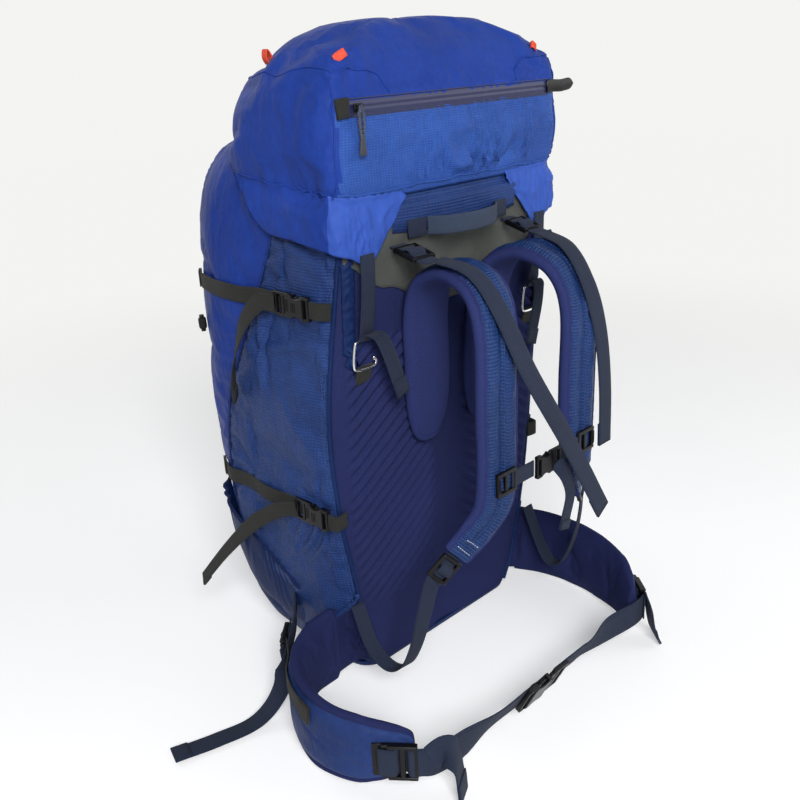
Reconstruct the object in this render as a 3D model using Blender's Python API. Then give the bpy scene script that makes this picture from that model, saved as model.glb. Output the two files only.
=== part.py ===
# Hiking backpack: a fabric sack on a framed and padded back, with a zipped lid and a webbing harness.
# Metres, +Z up. The origin is on the floor under the base, and the wearer's side faces -Y.
import math

import bmesh
import bpy
from mathutils import Matrix, Vector

# Clearances and cloth
GAP = 0.0003                # between neighbouring pieces
WALL = 0.003                # sack cloth with its lining
BACK_PAD = 0.016            # moulded foam of the back panel
WEB = 0.0016                # webbing thickness
SEAM_ANGLE = 1.2            # degrees left open at each side of a corner seam

# Sack outline by height: height, half width, back Y, front Y
SACK = (
    (0.000, 0.143, -0.128, 0.062),
    (0.040, 0.158, -0.131, 0.104),
    (0.110, 0.170, -0.136, 0.132),
    (0.220, 0.182, -0.142, 0.144),
    (0.360, 0.189, -0.149, 0.145),
    (0.500, 0.187, -0.157, 0.138),
    (0.600, 0.181, -0.164, 0.122),
    (0.650, 0.160, -0.168, 0.098),
    (0.668, 0.130, -0.168, 0.066),
)
SACK_REAR_RADIUS = 0.030
SACK_FRONT_RADIUS = 0.085
BASE_THICK = 0.010
SIDE_TOP = 0.596
FRONT_TOP = 0.664
BACK_TOP = 0.590
COLLAR_LOW = 0.555
COLLAR_IN = 0.010           # inside the sack's walls
POCKET_LOW = 0.020
POCKET_TOP_FRONT = 0.210
POCKET_TOP_REAR = 0.100
POCKET_OFF = 0.0050         # slack between pocket and side

# Frame inside the back
SHEET_HALF_WIDTH = 0.115
SHEET_LOW = 0.030
SHEET_TOP = 0.550
SHEET_THICK = 0.0016
STAY_WIDTH = 0.025
STAY_THICK = 0.003

# Lid outline by height: height, half width, back Y, front Y
LID = (
    (0.605, 0.180, -0.168, 0.018),
    (0.625, 0.188, -0.172, 0.034),
    (0.690, 0.189, -0.172, 0.032),
    (0.715, 0.187, -0.172, 0.014),
    (0.740, 0.178, -0.166, -0.012),
    (0.762, 0.155, -0.150, -0.040),
    (0.776, 0.110, -0.125, -0.065),
)
LID_REAR_RADIUS = 0.022
LID_FRONT_RADIUS = 0.070
LID_BACK_Y = -0.172
HINGE_Y = -0.168
HINGE_Z = 0.604
EAR_TIP_X = 0.148
EAR_TIP_Z = 0.530
BAND_LOW_Z = 0.572
HAUL_Y = -0.1765
HAUL_Z = 0.568

# Zip on the lid's rear face
ZIP_Z = 0.699
ZIP_HALF_LENGTH = 0.166
ZIP_WIDTH = 0.018
ZIP_THICK = 0.0012
SLIDER_X = -0.152
SLIDER_LENGTH = 0.012
SLIDER_DEEP = 0.005
PULL_LENGTH = 0.048

# Harness
STRAP_THICK = 0.018
STRAP_FRONT_Y = -0.285
ARCH_Z = 0.4665
ARCH_TOP_Z = 0.525
STRAP_FRONT_X = 0.075
STERNUM_Z = 0.300
WEB_25 = 0.025
WEB_20 = 0.020
HIP_WEB = 0.036             # belt webbing of the 38 mm class
WING_THICK = 0.020
WING_HEIGHT = 0.104
WING_Z = 0.055
BELT_Y = -0.342
BELT_TILT = (0.0, -0.450, 0.893)     # the centre buckle's width leans out at the top
BELT_Z = 0.044
HIP_MOUTH_X = -0.060
UPPER_STRAP_Z = 0.495
LOWER_STRAP_Z = 0.240
SIDE_MOUTH_Y = -0.098

# Finishes: colour, roughness, metallic
FINISHES = {
    "royal": ((0.030, 0.055, 0.320), 0.45, 0.0),
    "navy": ((0.022, 0.045, 0.180), 0.50, 0.0),
    "lining": ((0.030, 0.028, 0.130), 0.85, 0.0),
    "slate": ((0.030, 0.036, 0.055), 0.75, 0.0),
    "olive": ((0.034, 0.034, 0.032), 0.75, 0.0),
    "plastic": ((0.010, 0.010, 0.012), 0.40, 0.0),
    "zip": ((0.045, 0.045, 0.090), 0.30, 0.0),
    "wire": ((0.600, 0.600, 0.620), 0.25, 1.0),
    "sheet": ((0.040, 0.040, 0.042), 0.50, 0.0),
    "stay": ((0.700, 0.700, 0.720), 0.35, 1.0),
}


# Shared shape tools

def clear_scene():
    for obj in list(bpy.data.objects):
        bpy.data.objects.remove(obj, do_unlink=True)


def make_material(name, finish):
    colour, roughness, metallic = FINISHES[finish]
    material = bpy.data.materials.new(name + "_finish")
    material.use_nodes = True
    shader = material.node_tree.nodes["Principled BSDF"]
    shader.inputs["Base Color"].default_value = (*colour, 1.0)
    shader.inputs["Roughness"].default_value = roughness
    shader.inputs["Metallic"].default_value = metallic
    return material


def add(name, bm, finish, origin=(0.0, 0.0, 0.0)):
    bmesh.ops.recalc_face_normals(bm, faces=bm.faces[:])
    bmesh.ops.translate(bm, verts=bm.verts[:], vec=-Vector(origin))
    mesh = bpy.data.meshes.new(name)
    bm.to_mesh(mesh)
    bm.free()
    mesh.shade_smooth()
    mesh.set_sharp_from_angle(angle=math.radians(40.0))
    mesh.materials.append(make_material(name, finish))
    obj = bpy.data.objects.new(name, mesh)
    obj.location = origin
    bpy.context.collection.objects.link(obj)
    return obj


def sides():
    return (("left", -1.0), ("right", 1.0))


def flip(stops, side):
    return [Vector((side * x, y, z)) for x, y, z in stops]


def at_height(keys, z):
    for low, high in zip(keys, keys[1:]):
        if z <= high[0]:
            break
    t = (z - low[0]) / (high[0] - low[0])
    return [a + (b - a) * t for a, b in zip(low[1:], high[1:])]


def arc(cx, cy, radius, start, stop, steps):
    angles = [math.radians(start + (stop - start) * i / steps) for i in range(steps + 1)]
    return [(cx + radius * math.cos(a), cy + radius * math.sin(a)) for a in angles]


def run(first, last, steps):
    return [tuple(Vector(first).lerp(Vector(last), i / steps)) for i in range(1, steps)]


def through(stops, steps):
    ends = [stops[0] * 2 - stops[1]] + list(stops) + [stops[-1] * 2 - stops[-2]]
    line = []
    for a, b, c, d in zip(ends, ends[1:], ends[2:], ends[3:]):
        for i in range(steps):
            t = i / steps
            bend = (a * 2 - b * 5 + c * 4 - d) * t * t + (b * 3 - a - c * 3 + d) * t ** 3
            line.append((b * 2 + (c - a) * t + bend) * 0.5)
    line.append(stops[-1])
    return line


def loft(rings):
    bm = bmesh.new()
    loops = [[bm.verts.new(p) for p in ring] for ring in rings]
    count = len(loops[0])
    for low, high in zip(loops, loops[1:]):
        for i in range(count):
            j = (i + 1) % count
            bm.faces.new((low[i], low[j], high[j], high[i]))
    bm.faces.new(loops[0])
    bm.faces.new(loops[-1])
    return bm


def shell(outer, inner):
    bm = bmesh.new()
    skins = [[[bm.verts.new(p) for p in row] for row in skin] for skin in (outer, inner)]
    rows = len(outer)
    cols = len(outer[0])
    for skin in skins:
        for r in range(rows - 1):
            for c in range(cols - 1):
                bm.faces.new((skin[r][c], skin[r][c + 1], skin[r + 1][c + 1], skin[r + 1][c]))
    out, inn = skins
    for r in range(rows - 1):
        for c in (0, cols - 1):
            bm.faces.new((out[r][c], out[r + 1][c], inn[r + 1][c], inn[r][c]))
    for c in range(cols - 1):
        for r in (0, rows - 1):
            bm.faces.new((out[r][c], out[r][c + 1], inn[r][c + 1], inn[r][c]))
    return bm


def swept(stops, across, section, steps):
    points = through([Vector(s) for s in stops], steps)
    lanes = through([Vector(a) for a in across], steps)
    last = len(points) - 1
    rings = []
    for i, point in enumerate(points):
        tangent = points[min(i + 1, last)] - points[max(i - 1, 0)]
        tangent.normalize()
        lane = (lanes[i] - tangent * lanes[i].dot(tangent)).normalized()
        normal = tangent.cross(lane)
        rings.append([point + lane * u + normal * v for u, v in section(i / last)])
    return loft(rings)


def ribbon(stops, across, width, steps=4):
    if not isinstance(across, list):
        across = [across] * len(stops)
    u = width / 2
    v = WEB / 2
    return swept(stops, across, lambda t: ((u, v), (-u, v), (-u, -v), (u, -v)), steps)


def padded(stops, across, widths, thick, steps=4, count=12):
    def section(t):
        place = t * (len(widths) - 1)
        first = min(int(place), len(widths) - 2)
        width = widths[first] + (widths[first + 1] - widths[first]) * (place - first)
        turns = [2.0 * math.pi * k / count for k in range(count)]
        square = 0.55
        ring = []
        for a in turns:
            u = math.copysign(abs(math.cos(a)) ** square, math.cos(a)) * width / 2
            v = math.copysign(abs(math.sin(a)) ** square, math.sin(a)) * thick / 2
            ring.append((u, v))
        return ring
    return swept(stops, across, section, steps)


def placed(at, along, across):
    x = Vector(along).normalized()
    y = Vector(across)
    y = (y - x * y.dot(x)).normalized()
    z = x.cross(y)
    turn = Matrix((x, y, z)).transposed().to_4x4()
    return Matrix.Translation(Vector(at)) @ turn


def grid_plate(xs, ys, holes, thick, matrix):
    bm = bmesh.new()
    made = {}

    def corner(i, j, k):
        if (i, j, k) not in made:
            made[(i, j, k)] = bm.verts.new(matrix @ Vector((xs[i], ys[j], (k - 0.5) * thick)))
        return made[(i, j, k)]

    cells = {(i, j) for i in range(len(xs) - 1) for j in range(len(ys) - 1)} - set(holes)
    for i, j in sorted(cells):
        for k in (0, 1):
            loop = ((i, j), (i + 1, j), (i + 1, j + 1), (i, j + 1))
            bm.faces.new([corner(*c, k) for c in loop])
        edges = {
            (i - 1, j): ((i, j), (i, j + 1)),
            (i + 1, j): ((i + 1, j), (i + 1, j + 1)),
            (i, j - 1): ((i, j), (i + 1, j)),
            (i, j + 1): ((i, j + 1), (i + 1, j + 1)),
        }
        for neighbour, (a, b) in edges.items():
            if neighbour not in cells:
                bm.faces.new((corner(*a, 0), corner(*b, 0), corner(*b, 1), corner(*a, 1)))
    return bm


def prism(outline, near_y, far_y):
    return loft([[Vector((x, y, z)) for x, z in outline] for y in (near_y, far_y)])


# Buckles

def ladder_lock(at, along, across, web, thick=0.006):
    edge = web / 2
    xs = (-0.016, -0.012, -0.003, 0.003, 0.012, 0.016)
    ys = (-edge - 0.004, -edge, edge, edge + 0.004)
    return grid_plate(xs, ys, [(1, 1), (3, 1)], thick, placed(at, along, across))


def plug(at, along, across, web, body, tongue, thick=0.005):
    edge = web / 2
    xs = (-body, -body + 0.004, -body * 0.45, -0.0005, tongue)
    ys = (-edge - 0.004, -edge + 0.001, edge - 0.001, edge + 0.004)
    holes = [(1, 1), (3, 0), (3, 2)]
    return grid_plate(xs, ys, holes, thick, placed(at, along, across))


def socket(at, along, across, web, length, thick=0.010):
    edge = web / 2
    wall = 0.002
    xs = (-edge - 0.004, -edge - 0.004 + wall, edge + 0.004 - wall, edge + 0.004)
    ys = (-thick / 2, -thick / 2 + wall, thick / 2 - wall, thick / 2)
    middle = Vector(at) + Vector(along).normalized() * length / 2
    normal = Vector(along).cross(Vector(across))
    return grid_plate(xs, ys, [(1, 1)], length, placed(middle, across, normal))


# Sack

def wall_line(side, z, inset, straight=4):
    half, back, front = at_height(SACK, z)
    rear = SACK_REAR_RADIUS
    nose = SACK_FRONT_RADIUS
    if side == "back":
        first = arc(-half + rear, back + rear, rear - inset, 225 + SEAM_ANGLE, 270, 3)
        last = arc(half - rear, back + rear, rear - inset, 270, 315 - SEAM_ANGLE, 3)
    elif side == "front":
        first = arc(half - nose, front - nose, nose - inset, 45 + SEAM_ANGLE, 90, 4)
        last = arc(-half + nose, front - nose, nose - inset, 90, 135 - SEAM_ANGLE, 4)
    else:
        first = arc(-half + nose, front - nose, nose - inset, 135 + SEAM_ANGLE, 180, 4)
        last = arc(-half + rear, back + rear, rear - inset, 180, 225 - SEAM_ANGLE, 3)
    line = first + run(first[-1], last[0], straight) + last
    mirror = -1.0 if side == "right" else 1.0
    return [Vector((x * mirror, y, z)) for x, y in line]


def levels(low, top):
    return [low] + [key[0] for key in SACK if low + 0.004 < key[0] < top - 0.004] + [top]


def wall_panel(name, side, top, thick, finish):
    rows = levels(BASE_THICK + GAP, top)
    outer = [wall_line(side, z, 0.0) for z in rows]
    inner = [wall_line(side, z, thick) for z in rows]
    add(name, shell(outer, inner), finish)


def outline_ring(keys, z, rear, nose, inset=0.0):
    half, back, front = at_height(keys, z)
    most = (front - back) * 0.45
    rear = min(rear, most)
    nose = min(nose, most)
    ring = arc(half - nose, front - nose, nose - inset, 0, 90, 4)
    ring += arc(-half + nose, front - nose, nose - inset, 90, 180, 4)
    ring += arc(-half + rear, back + rear, rear - inset, 180, 270, 3)
    ring += arc(half - rear, back + rear, rear - inset, 270, 360, 3)
    return [Vector((x, y, z)) for x, y in ring]


def build_sack():
    wall_panel("front_panel", "front", FRONT_TOP, WALL, "royal")
    wall_panel("side_panel_left", "left", SIDE_TOP, WALL, "navy")
    wall_panel("side_panel_right", "right", SIDE_TOP, WALL, "navy")
    wall_panel("back_panel", "back", BACK_TOP, BACK_PAD, "lining")
    floor = [outline_ring(SACK, z, SACK_REAR_RADIUS, SACK_FRONT_RADIUS) for z in (0.0, BASE_THICK)]
    add("base_panel", loft(floor), "navy")


def build_collar():
    rows = []
    for inset in (0.0, WALL):
        for z in (COLLAR_LOW, SIDE_TOP):
            half, back, front = at_height(SACK, z)
            key = (half - COLLAR_IN, back + BACK_PAD + 0.002, front - COLLAR_IN)
            keys = ((0.0, *key), (1.0, *key))
            rows.append(outline_ring(keys, z, SACK_REAR_RADIUS, SACK_FRONT_RADIUS, inset))
    out_low, out_top, in_low, in_top = rows
    bm = bmesh.new()
    loops = [[bm.verts.new(p) for p in ring] for ring in (out_low, out_top, in_top, in_low)]
    count = len(out_low)
    for low, high in zip(loops, loops[1:] + loops[:1]):
        for i in range(count):
            j = (i + 1) % count
            bm.faces.new((low[i], low[j], high[j], high[i]))
    add("collar", bm, "navy")


def build_frame():
    rows = levels(SHEET_LOW, SHEET_TOP)

    def skin(half_width, depth):
        backs = [at_height(SACK, z)[1] + BACK_PAD + depth for z in rows]
        return [[Vector((x, y, z)) for x in (-half_width, half_width)] for y, z in zip(backs, rows)]

    near = 0.001
    far = near + SHEET_THICK
    half = SHEET_HALF_WIDTH
    add("frame_sheet", shell(skin(half, near), skin(half, far)), "sheet")
    near = far + GAP
    far = near + STAY_THICK
    half = STAY_WIDTH / 2
    add("frame_stay", shell(skin(half, near), skin(half, far)), "stay")


def build_pockets():
    last = 7                  # the pocket's rear seam is two steps short of the rear corner
    steps = 6
    for side, _ in sides():
        skins = []
        for inset in (-POCKET_OFF - WALL, -POCKET_OFF):
            skin = []
            for r in range(steps + 1):
                row = []
                for c in range(last + 1):
                    top = POCKET_TOP_FRONT + (POCKET_TOP_REAR - POCKET_TOP_FRONT) * c / last
                    z = POCKET_LOW + (top - POCKET_LOW) * r / steps
                    row.append(wall_line(side, z, inset)[c])
                skin.append(row)
            skins.append(skin)
        add("side_pocket_" + side, shell(*skins), "navy")


# Lid

def build_lid():
    rings = [outline_ring(LID, key[0], LID_REAR_RADIUS, LID_FRONT_RADIUS) for key in LID]
    add("lid", loft(rings), "royal", (0.0, HINGE_Y, HINGE_Z))


def build_zip():
    near = LID_BACK_Y - GAP
    far = near - ZIP_THICK
    low = ZIP_Z - ZIP_WIDTH / 2
    high = ZIP_Z + ZIP_WIDTH / 2
    long = ZIP_HALF_LENGTH
    tape = ((-long, low), (long, low), (long, high), (-long, high))
    add("zip_tape", prism(tape, near, far), "zip")

    near = far - GAP
    far = near - SLIDER_DEEP
    x = SLIDER_X
    long = SLIDER_LENGTH / 2
    wide = 0.005
    body = (
        (x - long, ZIP_Z - wide * 0.6),
        (x + long, ZIP_Z - wide),
        (x + long, ZIP_Z + wide),
        (x - long, ZIP_Z + wide * 0.6),
    )
    add("zip_slider", prism(body, near, far), "plastic", (x, near, ZIP_Z))

    near = far - GAP
    far = near - 0.003
    top = ZIP_Z + 0.003
    tip = top - PULL_LENGTH
    hang = (
        (x - 0.002, top),
        (x + 0.002, top),
        (x + 0.003, tip + 0.020),
        (x + 0.006, tip),
        (x - 0.006, tip),
        (x - 0.003, tip + 0.020),
    )
    add("zip_pull", prism(hang, near, far), "plastic", (x, near, ZIP_Z))


def build_lid_rear():
    half = [
        (0.186, HINGE_Z - 0.002),
        (0.186, BAND_LOW_Z + 0.003),
        (EAR_TIP_X + 0.012, EAR_TIP_Z),
        (EAR_TIP_X - 0.012, EAR_TIP_Z),
        (0.100, BAND_LOW_Z),
    ]
    outline = half + [(-x, z) for x, z in reversed(half)]
    add("lid_hinge_panel", prism(outline, -0.1685, -0.1700), "royal")

    wide = Vector((1.0, 0.0, 0.0))
    for name, side in sides():
        x = EAR_TIP_X
        down = [(x, -0.1715, 0.546), (x, -0.1700, 0.510), (x - 0.001, -0.1660, 0.474)]
        over = [(x - 0.003, -0.1740, 0.466), (x - 0.010, -0.1830, 0.455), (x - 0.032, -0.1850, 0.390)]
        add("lid_strap_" + name, ribbon(flip(down + over, side), wide, WEB_20), "slate")
        build_hook("lid_hook_" + name, side * x, -0.1605, 0.442)


def build_hook(name, x, y, z):
    shape = (
        (0.012, -0.008), (0.016, -0.013), (0.012, -0.018), (-0.012, -0.018),
        (-0.017, -0.011), (-0.014, 0.010), (-0.009, 0.014), (0.014, 0.014),
    )
    radius = 0.0014
    ring = [2.0 * math.pi * k / 6 for k in range(6)]
    section = [(radius * math.cos(a), radius * math.sin(a)) for a in ring]
    stops = [(x + dx, y, z + dz) for dx, dz in shape]
    across = [Vector((0.0, 1.0, 0.0))] * len(stops)
    add(name, swept(stops, across, lambda t: section, 3), "wire")


def build_haul_loop():
    half = [(0.056, 0.0), (0.050, 0.006), (0.032, 0.019)]     # X, and how far out of the back
    stops = [(-x, out) for x, out in half] + [(0.0, 0.025)] + list(reversed(half))
    stops = [(x, HAUL_Y - out, HAUL_Z) for x, out in stops]
    up = Vector((0.0, 0.0, 1.0))
    add("haul_loop", ribbon(stops, up, WEB_20, 3), "slate", (0.0, HAUL_Y, HAUL_Z))


# Shoulder harness

def build_shoulder(name, side):
    rear_y = -0.167
    stops = flip([
        (0.050, -0.158, 0.305),
        (0.052, -0.163, 0.400),
        (0.056, rear_y, ARCH_Z),
        (0.060, rear_y - 0.018, ARCH_Z + 0.043),
        (0.064, (rear_y + STRAP_FRONT_Y) / 2, ARCH_TOP_Z),
        (0.070, STRAP_FRONT_Y + 0.018, ARCH_Z + 0.043),
        (STRAP_FRONT_X, STRAP_FRONT_Y, ARCH_Z),
        (STRAP_FRONT_X, STRAP_FRONT_Y, 0.380),
        (STRAP_FRONT_X, STRAP_FRONT_Y, 0.320),
        (0.080, -0.284, 0.272),
        (0.098, -0.274, 0.240),
        (0.121, -0.262, 0.214),
    ], side)
    wide = [Vector((1.0, 0.0, 0.0))] * len(stops)
    widths = (0.072, 0.072, 0.070, 0.068, 0.066, 0.066, 0.066, 0.066, 0.064, 0.062, 0.052, 0.040)
    add("shoulder_strap_" + name, padded(stops, wide, widths, STRAP_THICK, 3), "navy")

    end = stops[-1]
    heading = (stops[-1] - stops[-2]).normalized()
    lock = end + heading * 0.020
    across = Vector((1.0, 0.0, 0.0))
    add("ladder_lock_" + name, ladder_lock(lock, heading, across, WEB_20), "plastic")

    start = lock + heading * 0.022
    lower = [start] + flip([
        (0.154, -0.240, 0.140),
        (0.156, -0.228, 0.096),
        (0.158, -0.211, 0.062),
        (0.162, -0.188, 0.052),
        (0.168, -0.164, 0.074),
        (0.168, -0.142, 0.122),
    ], side)
    add("lower_webbing_" + name, ribbon(lower, across, WEB_20), "slate")


def build_load_lifter(name, side, tail):
    at = Vector((side * 0.095, -0.190, 0.546))
    along = Vector((0.0, -0.90, -0.25))
    wide = Vector((1.0, 0.0, 0.0))
    add("load_lifter_buckle_" + name, ladder_lock(at, along, wide, WEB_25), "plastic")
    start = at + along.normalized() * 0.0230
    over = [(0.088, -0.226, 0.5385), (0.082, -0.262, 0.527), (0.078, -0.292, 0.492)]
    stops = [start] + flip(over, side) + [Vector(p) for p in tail]
    add("load_lifter_" + name, ribbon(stops, wide, WEB_25), "slate")


def build_sternum():
    wide = Vector((0.0, 0.0, 1.0))
    face = STRAP_FRONT_Y - STRAP_THICK / 2 - 0.0016
    web_y = face - 0.0030
    plate_y = web_y - WEB / 2 - GAP - 0.0025
    along = (-1.0, 0.0, 0.0)
    for name, side in sides():
        at = (side * STRAP_FRONT_X, face - 0.003, STERNUM_Z)
        add("sternum_slider_" + name, ladder_lock(at, (side, 0.0, 0.0), wide, WEB_20), "plastic")
        inner = 0.027 if name == "left" else 0.008
        ends = [(side * x, web_y, STERNUM_Z) for x in (0.0587, 0.040, inner)]
        add("sternum_strap_" + name, ribbon(ends, wide, WEB_20), "slate")
    mouth = (-0.002, plate_y, STERNUM_Z)
    add("sternum_socket", socket(mouth, along, wide, WEB_20, 0.024, 0.008), "plastic")
    add("sternum_plug", plug(mouth, along, wide, WEB_20, 0.022, 0.014, 0.0035), "plastic", mouth)


# Hip belt

def build_wing(name, stops, widths):
    up = [Vector((0.0, 0.0, 1.0))] * len(stops)
    add("hip_wing_" + name, padded(stops, up, widths, WING_THICK), "navy")


def build_adjuster(name, at, along):
    up = Vector((0.0, 0.0, 1.0))
    add("hip_adjuster_" + name, ladder_lock(at, along, up, HIP_WEB, 0.008), "plastic")


def build_hip_belt():
    up = Vector((0.0, 0.0, 1.0))
    widths = [WING_HEIGHT, WING_HEIGHT, WING_HEIGHT, 0.100, 0.090, 0.064]
    left = [(-0.178, -0.104), (-0.222, -0.112), (-0.270, -0.146)]
    left += [(-0.296, -0.205), (-0.286, -0.265), (-0.248, -0.312)]
    right = [(0.178, -0.110), (0.192, -0.150), (0.196, -0.200)]
    right += [(0.188, -0.250), (0.168, -0.300), (0.134, -0.340)]
    build_wing("left", [(x, y, WING_Z) for x, y in left], widths)
    build_wing("right", [(x, y, WING_Z) for x, y in right], widths)
    build_adjuster("left", (-0.2680, -0.3135, 0.052), (0.63, -0.78, 0.0))
    build_adjuster("right", (0.1610, -0.3335, 0.052), (-0.66, -0.75, 0.0))

    tilt = Vector(BELT_TILT)
    lift = 0.0025 + GAP + WEB / 2 + 0.0002       # webbing lies on the plug's inner face
    near_y = BELT_Y + lift * tilt.z
    near_z = BELT_Z - lift * tilt.y
    left_run = [
        (-0.2560, -0.3285, 0.052),
        (-0.2400, -0.3370, 0.050),
        (-0.2000, near_y, 0.047),
        (-0.1500, near_y, near_z),
        (HIP_MOUTH_X - 0.043, near_y, near_z),
    ]
    right_run = [
        (HIP_MOUTH_X + 0.014, near_y, near_z),
        (-0.0140, near_y, near_z),
        (0.0120, near_y, near_z),
        (0.0340, near_y, near_z),
        (0.0800, near_y, 0.047),
        (0.1250, -0.3480, 0.050),
        (0.1480, -0.3475, 0.052),
    ]
    add("hip_webbing_left", ribbon(left_run, [up, up, up, tilt, tilt], HIP_WEB), "slate")
    add("hip_webbing_right", ribbon(right_run, [tilt] * 4 + [up] * 3, HIP_WEB), "slate")
    mouth = (HIP_MOUTH_X, BELT_Y, BELT_Z)
    along = (-1.0, 0.0, 0.0)
    add("hip_socket", socket(mouth, along, tilt, HIP_WEB, 0.040, 0.010), "plastic")
    add("hip_plug", plug(mouth, along, tilt, HIP_WEB, 0.034, 0.026), "plastic", mouth)


def build_stabilisers():
    up = Vector((0.0, 0.0, 1.0))
    flat = Vector((0.25, 1.0, 0.0))
    left = [
        (-0.1800, -0.034, 0.085),
        (-0.2050, -0.062, 0.078),
        (-0.2380, -0.088, 0.066),
        (-0.2640, -0.100, 0.030),
        (-0.3000, -0.098, 0.006),
        (-0.3500, -0.086, 0.003),
        (-0.4000, -0.070, 0.003),
    ]
    right = [
        (0.1800, -0.034, 0.085),
        (0.1930, -0.056, 0.080),
        (0.2130, -0.086, 0.068),
        (0.2280, -0.100, 0.032),
        (0.2450, -0.104, 0.006),
        (0.2750, -0.100, 0.003),
        (0.3150, -0.088, 0.003),
    ]
    lanes = [up, up, up, Vector((0.3, 0.7, 0.4)), flat, flat, flat]
    add("stabiliser_strap_left", ribbon(left, lanes, WEB_25), "slate")
    lanes = [Vector((-a.x, a.y, a.z)) for a in lanes]
    add("stabiliser_strap_right", ribbon(right, lanes, WEB_25), "slate")
    lock = ladder_lock((-0.228, -0.0725, 0.070), (-0.80, -0.60, -0.25), up, WEB_25)
    add("stabiliser_buckle_left", lock, "plastic")
    lock = ladder_lock((0.212, -0.0690, 0.074), (0.55, -0.80, -0.25), up, WEB_25)
    add("stabiliser_buckle_right", lock, "plastic")


# Side compression straps

def build_compression(name, side, z):
    half, _, front = at_height(SACK, z)
    nose = SACK_FRONT_RADIUS
    off = 0.0026
    lie = half + off
    stops = [(lie, -0.086, z), (lie, -0.040, z), (lie, 0.005, z)]
    bend = arc(half - nose, front - nose, nose + off, 0, 62, 4)
    stops += [(x, y, z) for x, y in bend]
    up = Vector((0.0, 0.0, 1.0))
    add("strap_" + name, ribbon(flip(stops, side), up, WEB_20, 3), "olive")
    plate = half + 0.0075
    mouth = (side * plate, SIDE_MOUTH_Y, z)
    add("socket_" + name, socket(mouth, (0.0, -1.0, 0.0), up, WEB_20, 0.030), "plastic")
    add("plug_" + name, plug(mouth, (0.0, -1.0, 0.0), up, WEB_20, 0.028, 0.018), "plastic", mouth)


def main():
    clear_scene()
    build_sack()
    build_collar()
    build_frame()
    build_pockets()
    build_lid()
    build_zip()
    build_lid_rear()
    build_haul_loop()
    for name, side in sides():
        build_shoulder(name, side)
        build_compression("upper_" + name, side, UPPER_STRAP_Z)
        build_compression("lower_" + name, side, LOWER_STRAP_Z)
    tail = [(-0.046, -0.308, 0.420), (0.014, -0.320, 0.320), (0.078, -0.326, 0.214)]
    build_load_lifter("left", -1.0, tail)
    tail = [(0.101, -0.299, 0.430), (0.110, -0.302, 0.360), (0.112, -0.303, 0.285)]
    build_load_lifter("right", 1.0, tail)
    build_sternum()
    build_hip_belt()
    build_stabilisers()


main()
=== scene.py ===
import math

import bmesh
import bpy
from mathutils import Matrix, Vector, noise
from mathutils.bvhtree import BVHTree


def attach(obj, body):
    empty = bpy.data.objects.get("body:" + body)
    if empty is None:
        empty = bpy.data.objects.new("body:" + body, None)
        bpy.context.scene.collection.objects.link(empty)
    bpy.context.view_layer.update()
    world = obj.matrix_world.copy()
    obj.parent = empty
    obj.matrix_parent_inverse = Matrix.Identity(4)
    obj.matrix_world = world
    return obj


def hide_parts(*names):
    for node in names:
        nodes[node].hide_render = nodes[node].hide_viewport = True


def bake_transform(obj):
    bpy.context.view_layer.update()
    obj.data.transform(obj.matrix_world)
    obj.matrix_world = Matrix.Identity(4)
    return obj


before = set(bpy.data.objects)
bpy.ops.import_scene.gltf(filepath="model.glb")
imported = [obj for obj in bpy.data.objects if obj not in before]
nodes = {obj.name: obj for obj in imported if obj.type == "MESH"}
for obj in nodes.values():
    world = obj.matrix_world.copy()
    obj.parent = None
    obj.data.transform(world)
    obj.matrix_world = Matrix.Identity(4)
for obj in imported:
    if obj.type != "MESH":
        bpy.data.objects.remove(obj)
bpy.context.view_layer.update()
scene = bpy.context.scene
scene.view_settings.view_transform = "Standard"


# Shader groups

def newGroup(name, vector, outputs, pitches=()):
    group = bpy.data.node_groups.new(name, "ShaderNodeTree")
    sockets = group.interface
    sockets.new_socket(vector, in_out="INPUT", socket_type="NodeSocketVector")
    for label, pitch in pitches:
        socket = sockets.new_socket(label, in_out="INPUT", socket_type="NodeSocketFloat")
        socket.default_value = pitch
    for label in outputs:
        sockets.new_socket(label, in_out="OUTPUT", socket_type="NodeSocketFloat")
    start = group.nodes.new("NodeGroupInput")
    end = group.nodes.new("NodeGroupOutput")
    return group, start.outputs, end.inputs


def tune(node, values):
    for label, value in values.items():
        node.inputs[label].default_value = value


def maths(tree, work, a, b=None, clamp=False):
    node = tree.nodes.new("ShaderNodeMath")
    node.operation = work
    node.use_clamp = clamp
    for socket, value in zip(node.inputs, (a, b)):
        if value is None:
            continue
        if isinstance(value, (int, float)):
            socket.default_value = value
        else:
            tree.links.new(value, socket)
    return node.outputs[0]


def splitVector(tree, vector):
    node = tree.nodes.new("ShaderNodeSeparateXYZ")
    tree.links.new(vector, node.inputs[0])
    return node.outputs


def noiseField(tree, vector, scale, detail=3.0):
    node = tree.nodes.new("ShaderNodeTexNoise")
    tune(node, {"Scale": scale, "Detail": detail})
    tree.links.new(vector, node.inputs["Vector"])
    return node.outputs["Fac"]


def halfWave(tree, along, pitch):
    turns = maths(tree, "DIVIDE", along, pitch)
    wave = maths(tree, "SINE", maths(tree, "MULTIPLY", turns, 2.0 * math.pi))
    lifted = maths(tree, "ADD", wave, 1.0)
    return maths(tree, "MULTIPLY", lifted, 0.5)


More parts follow.
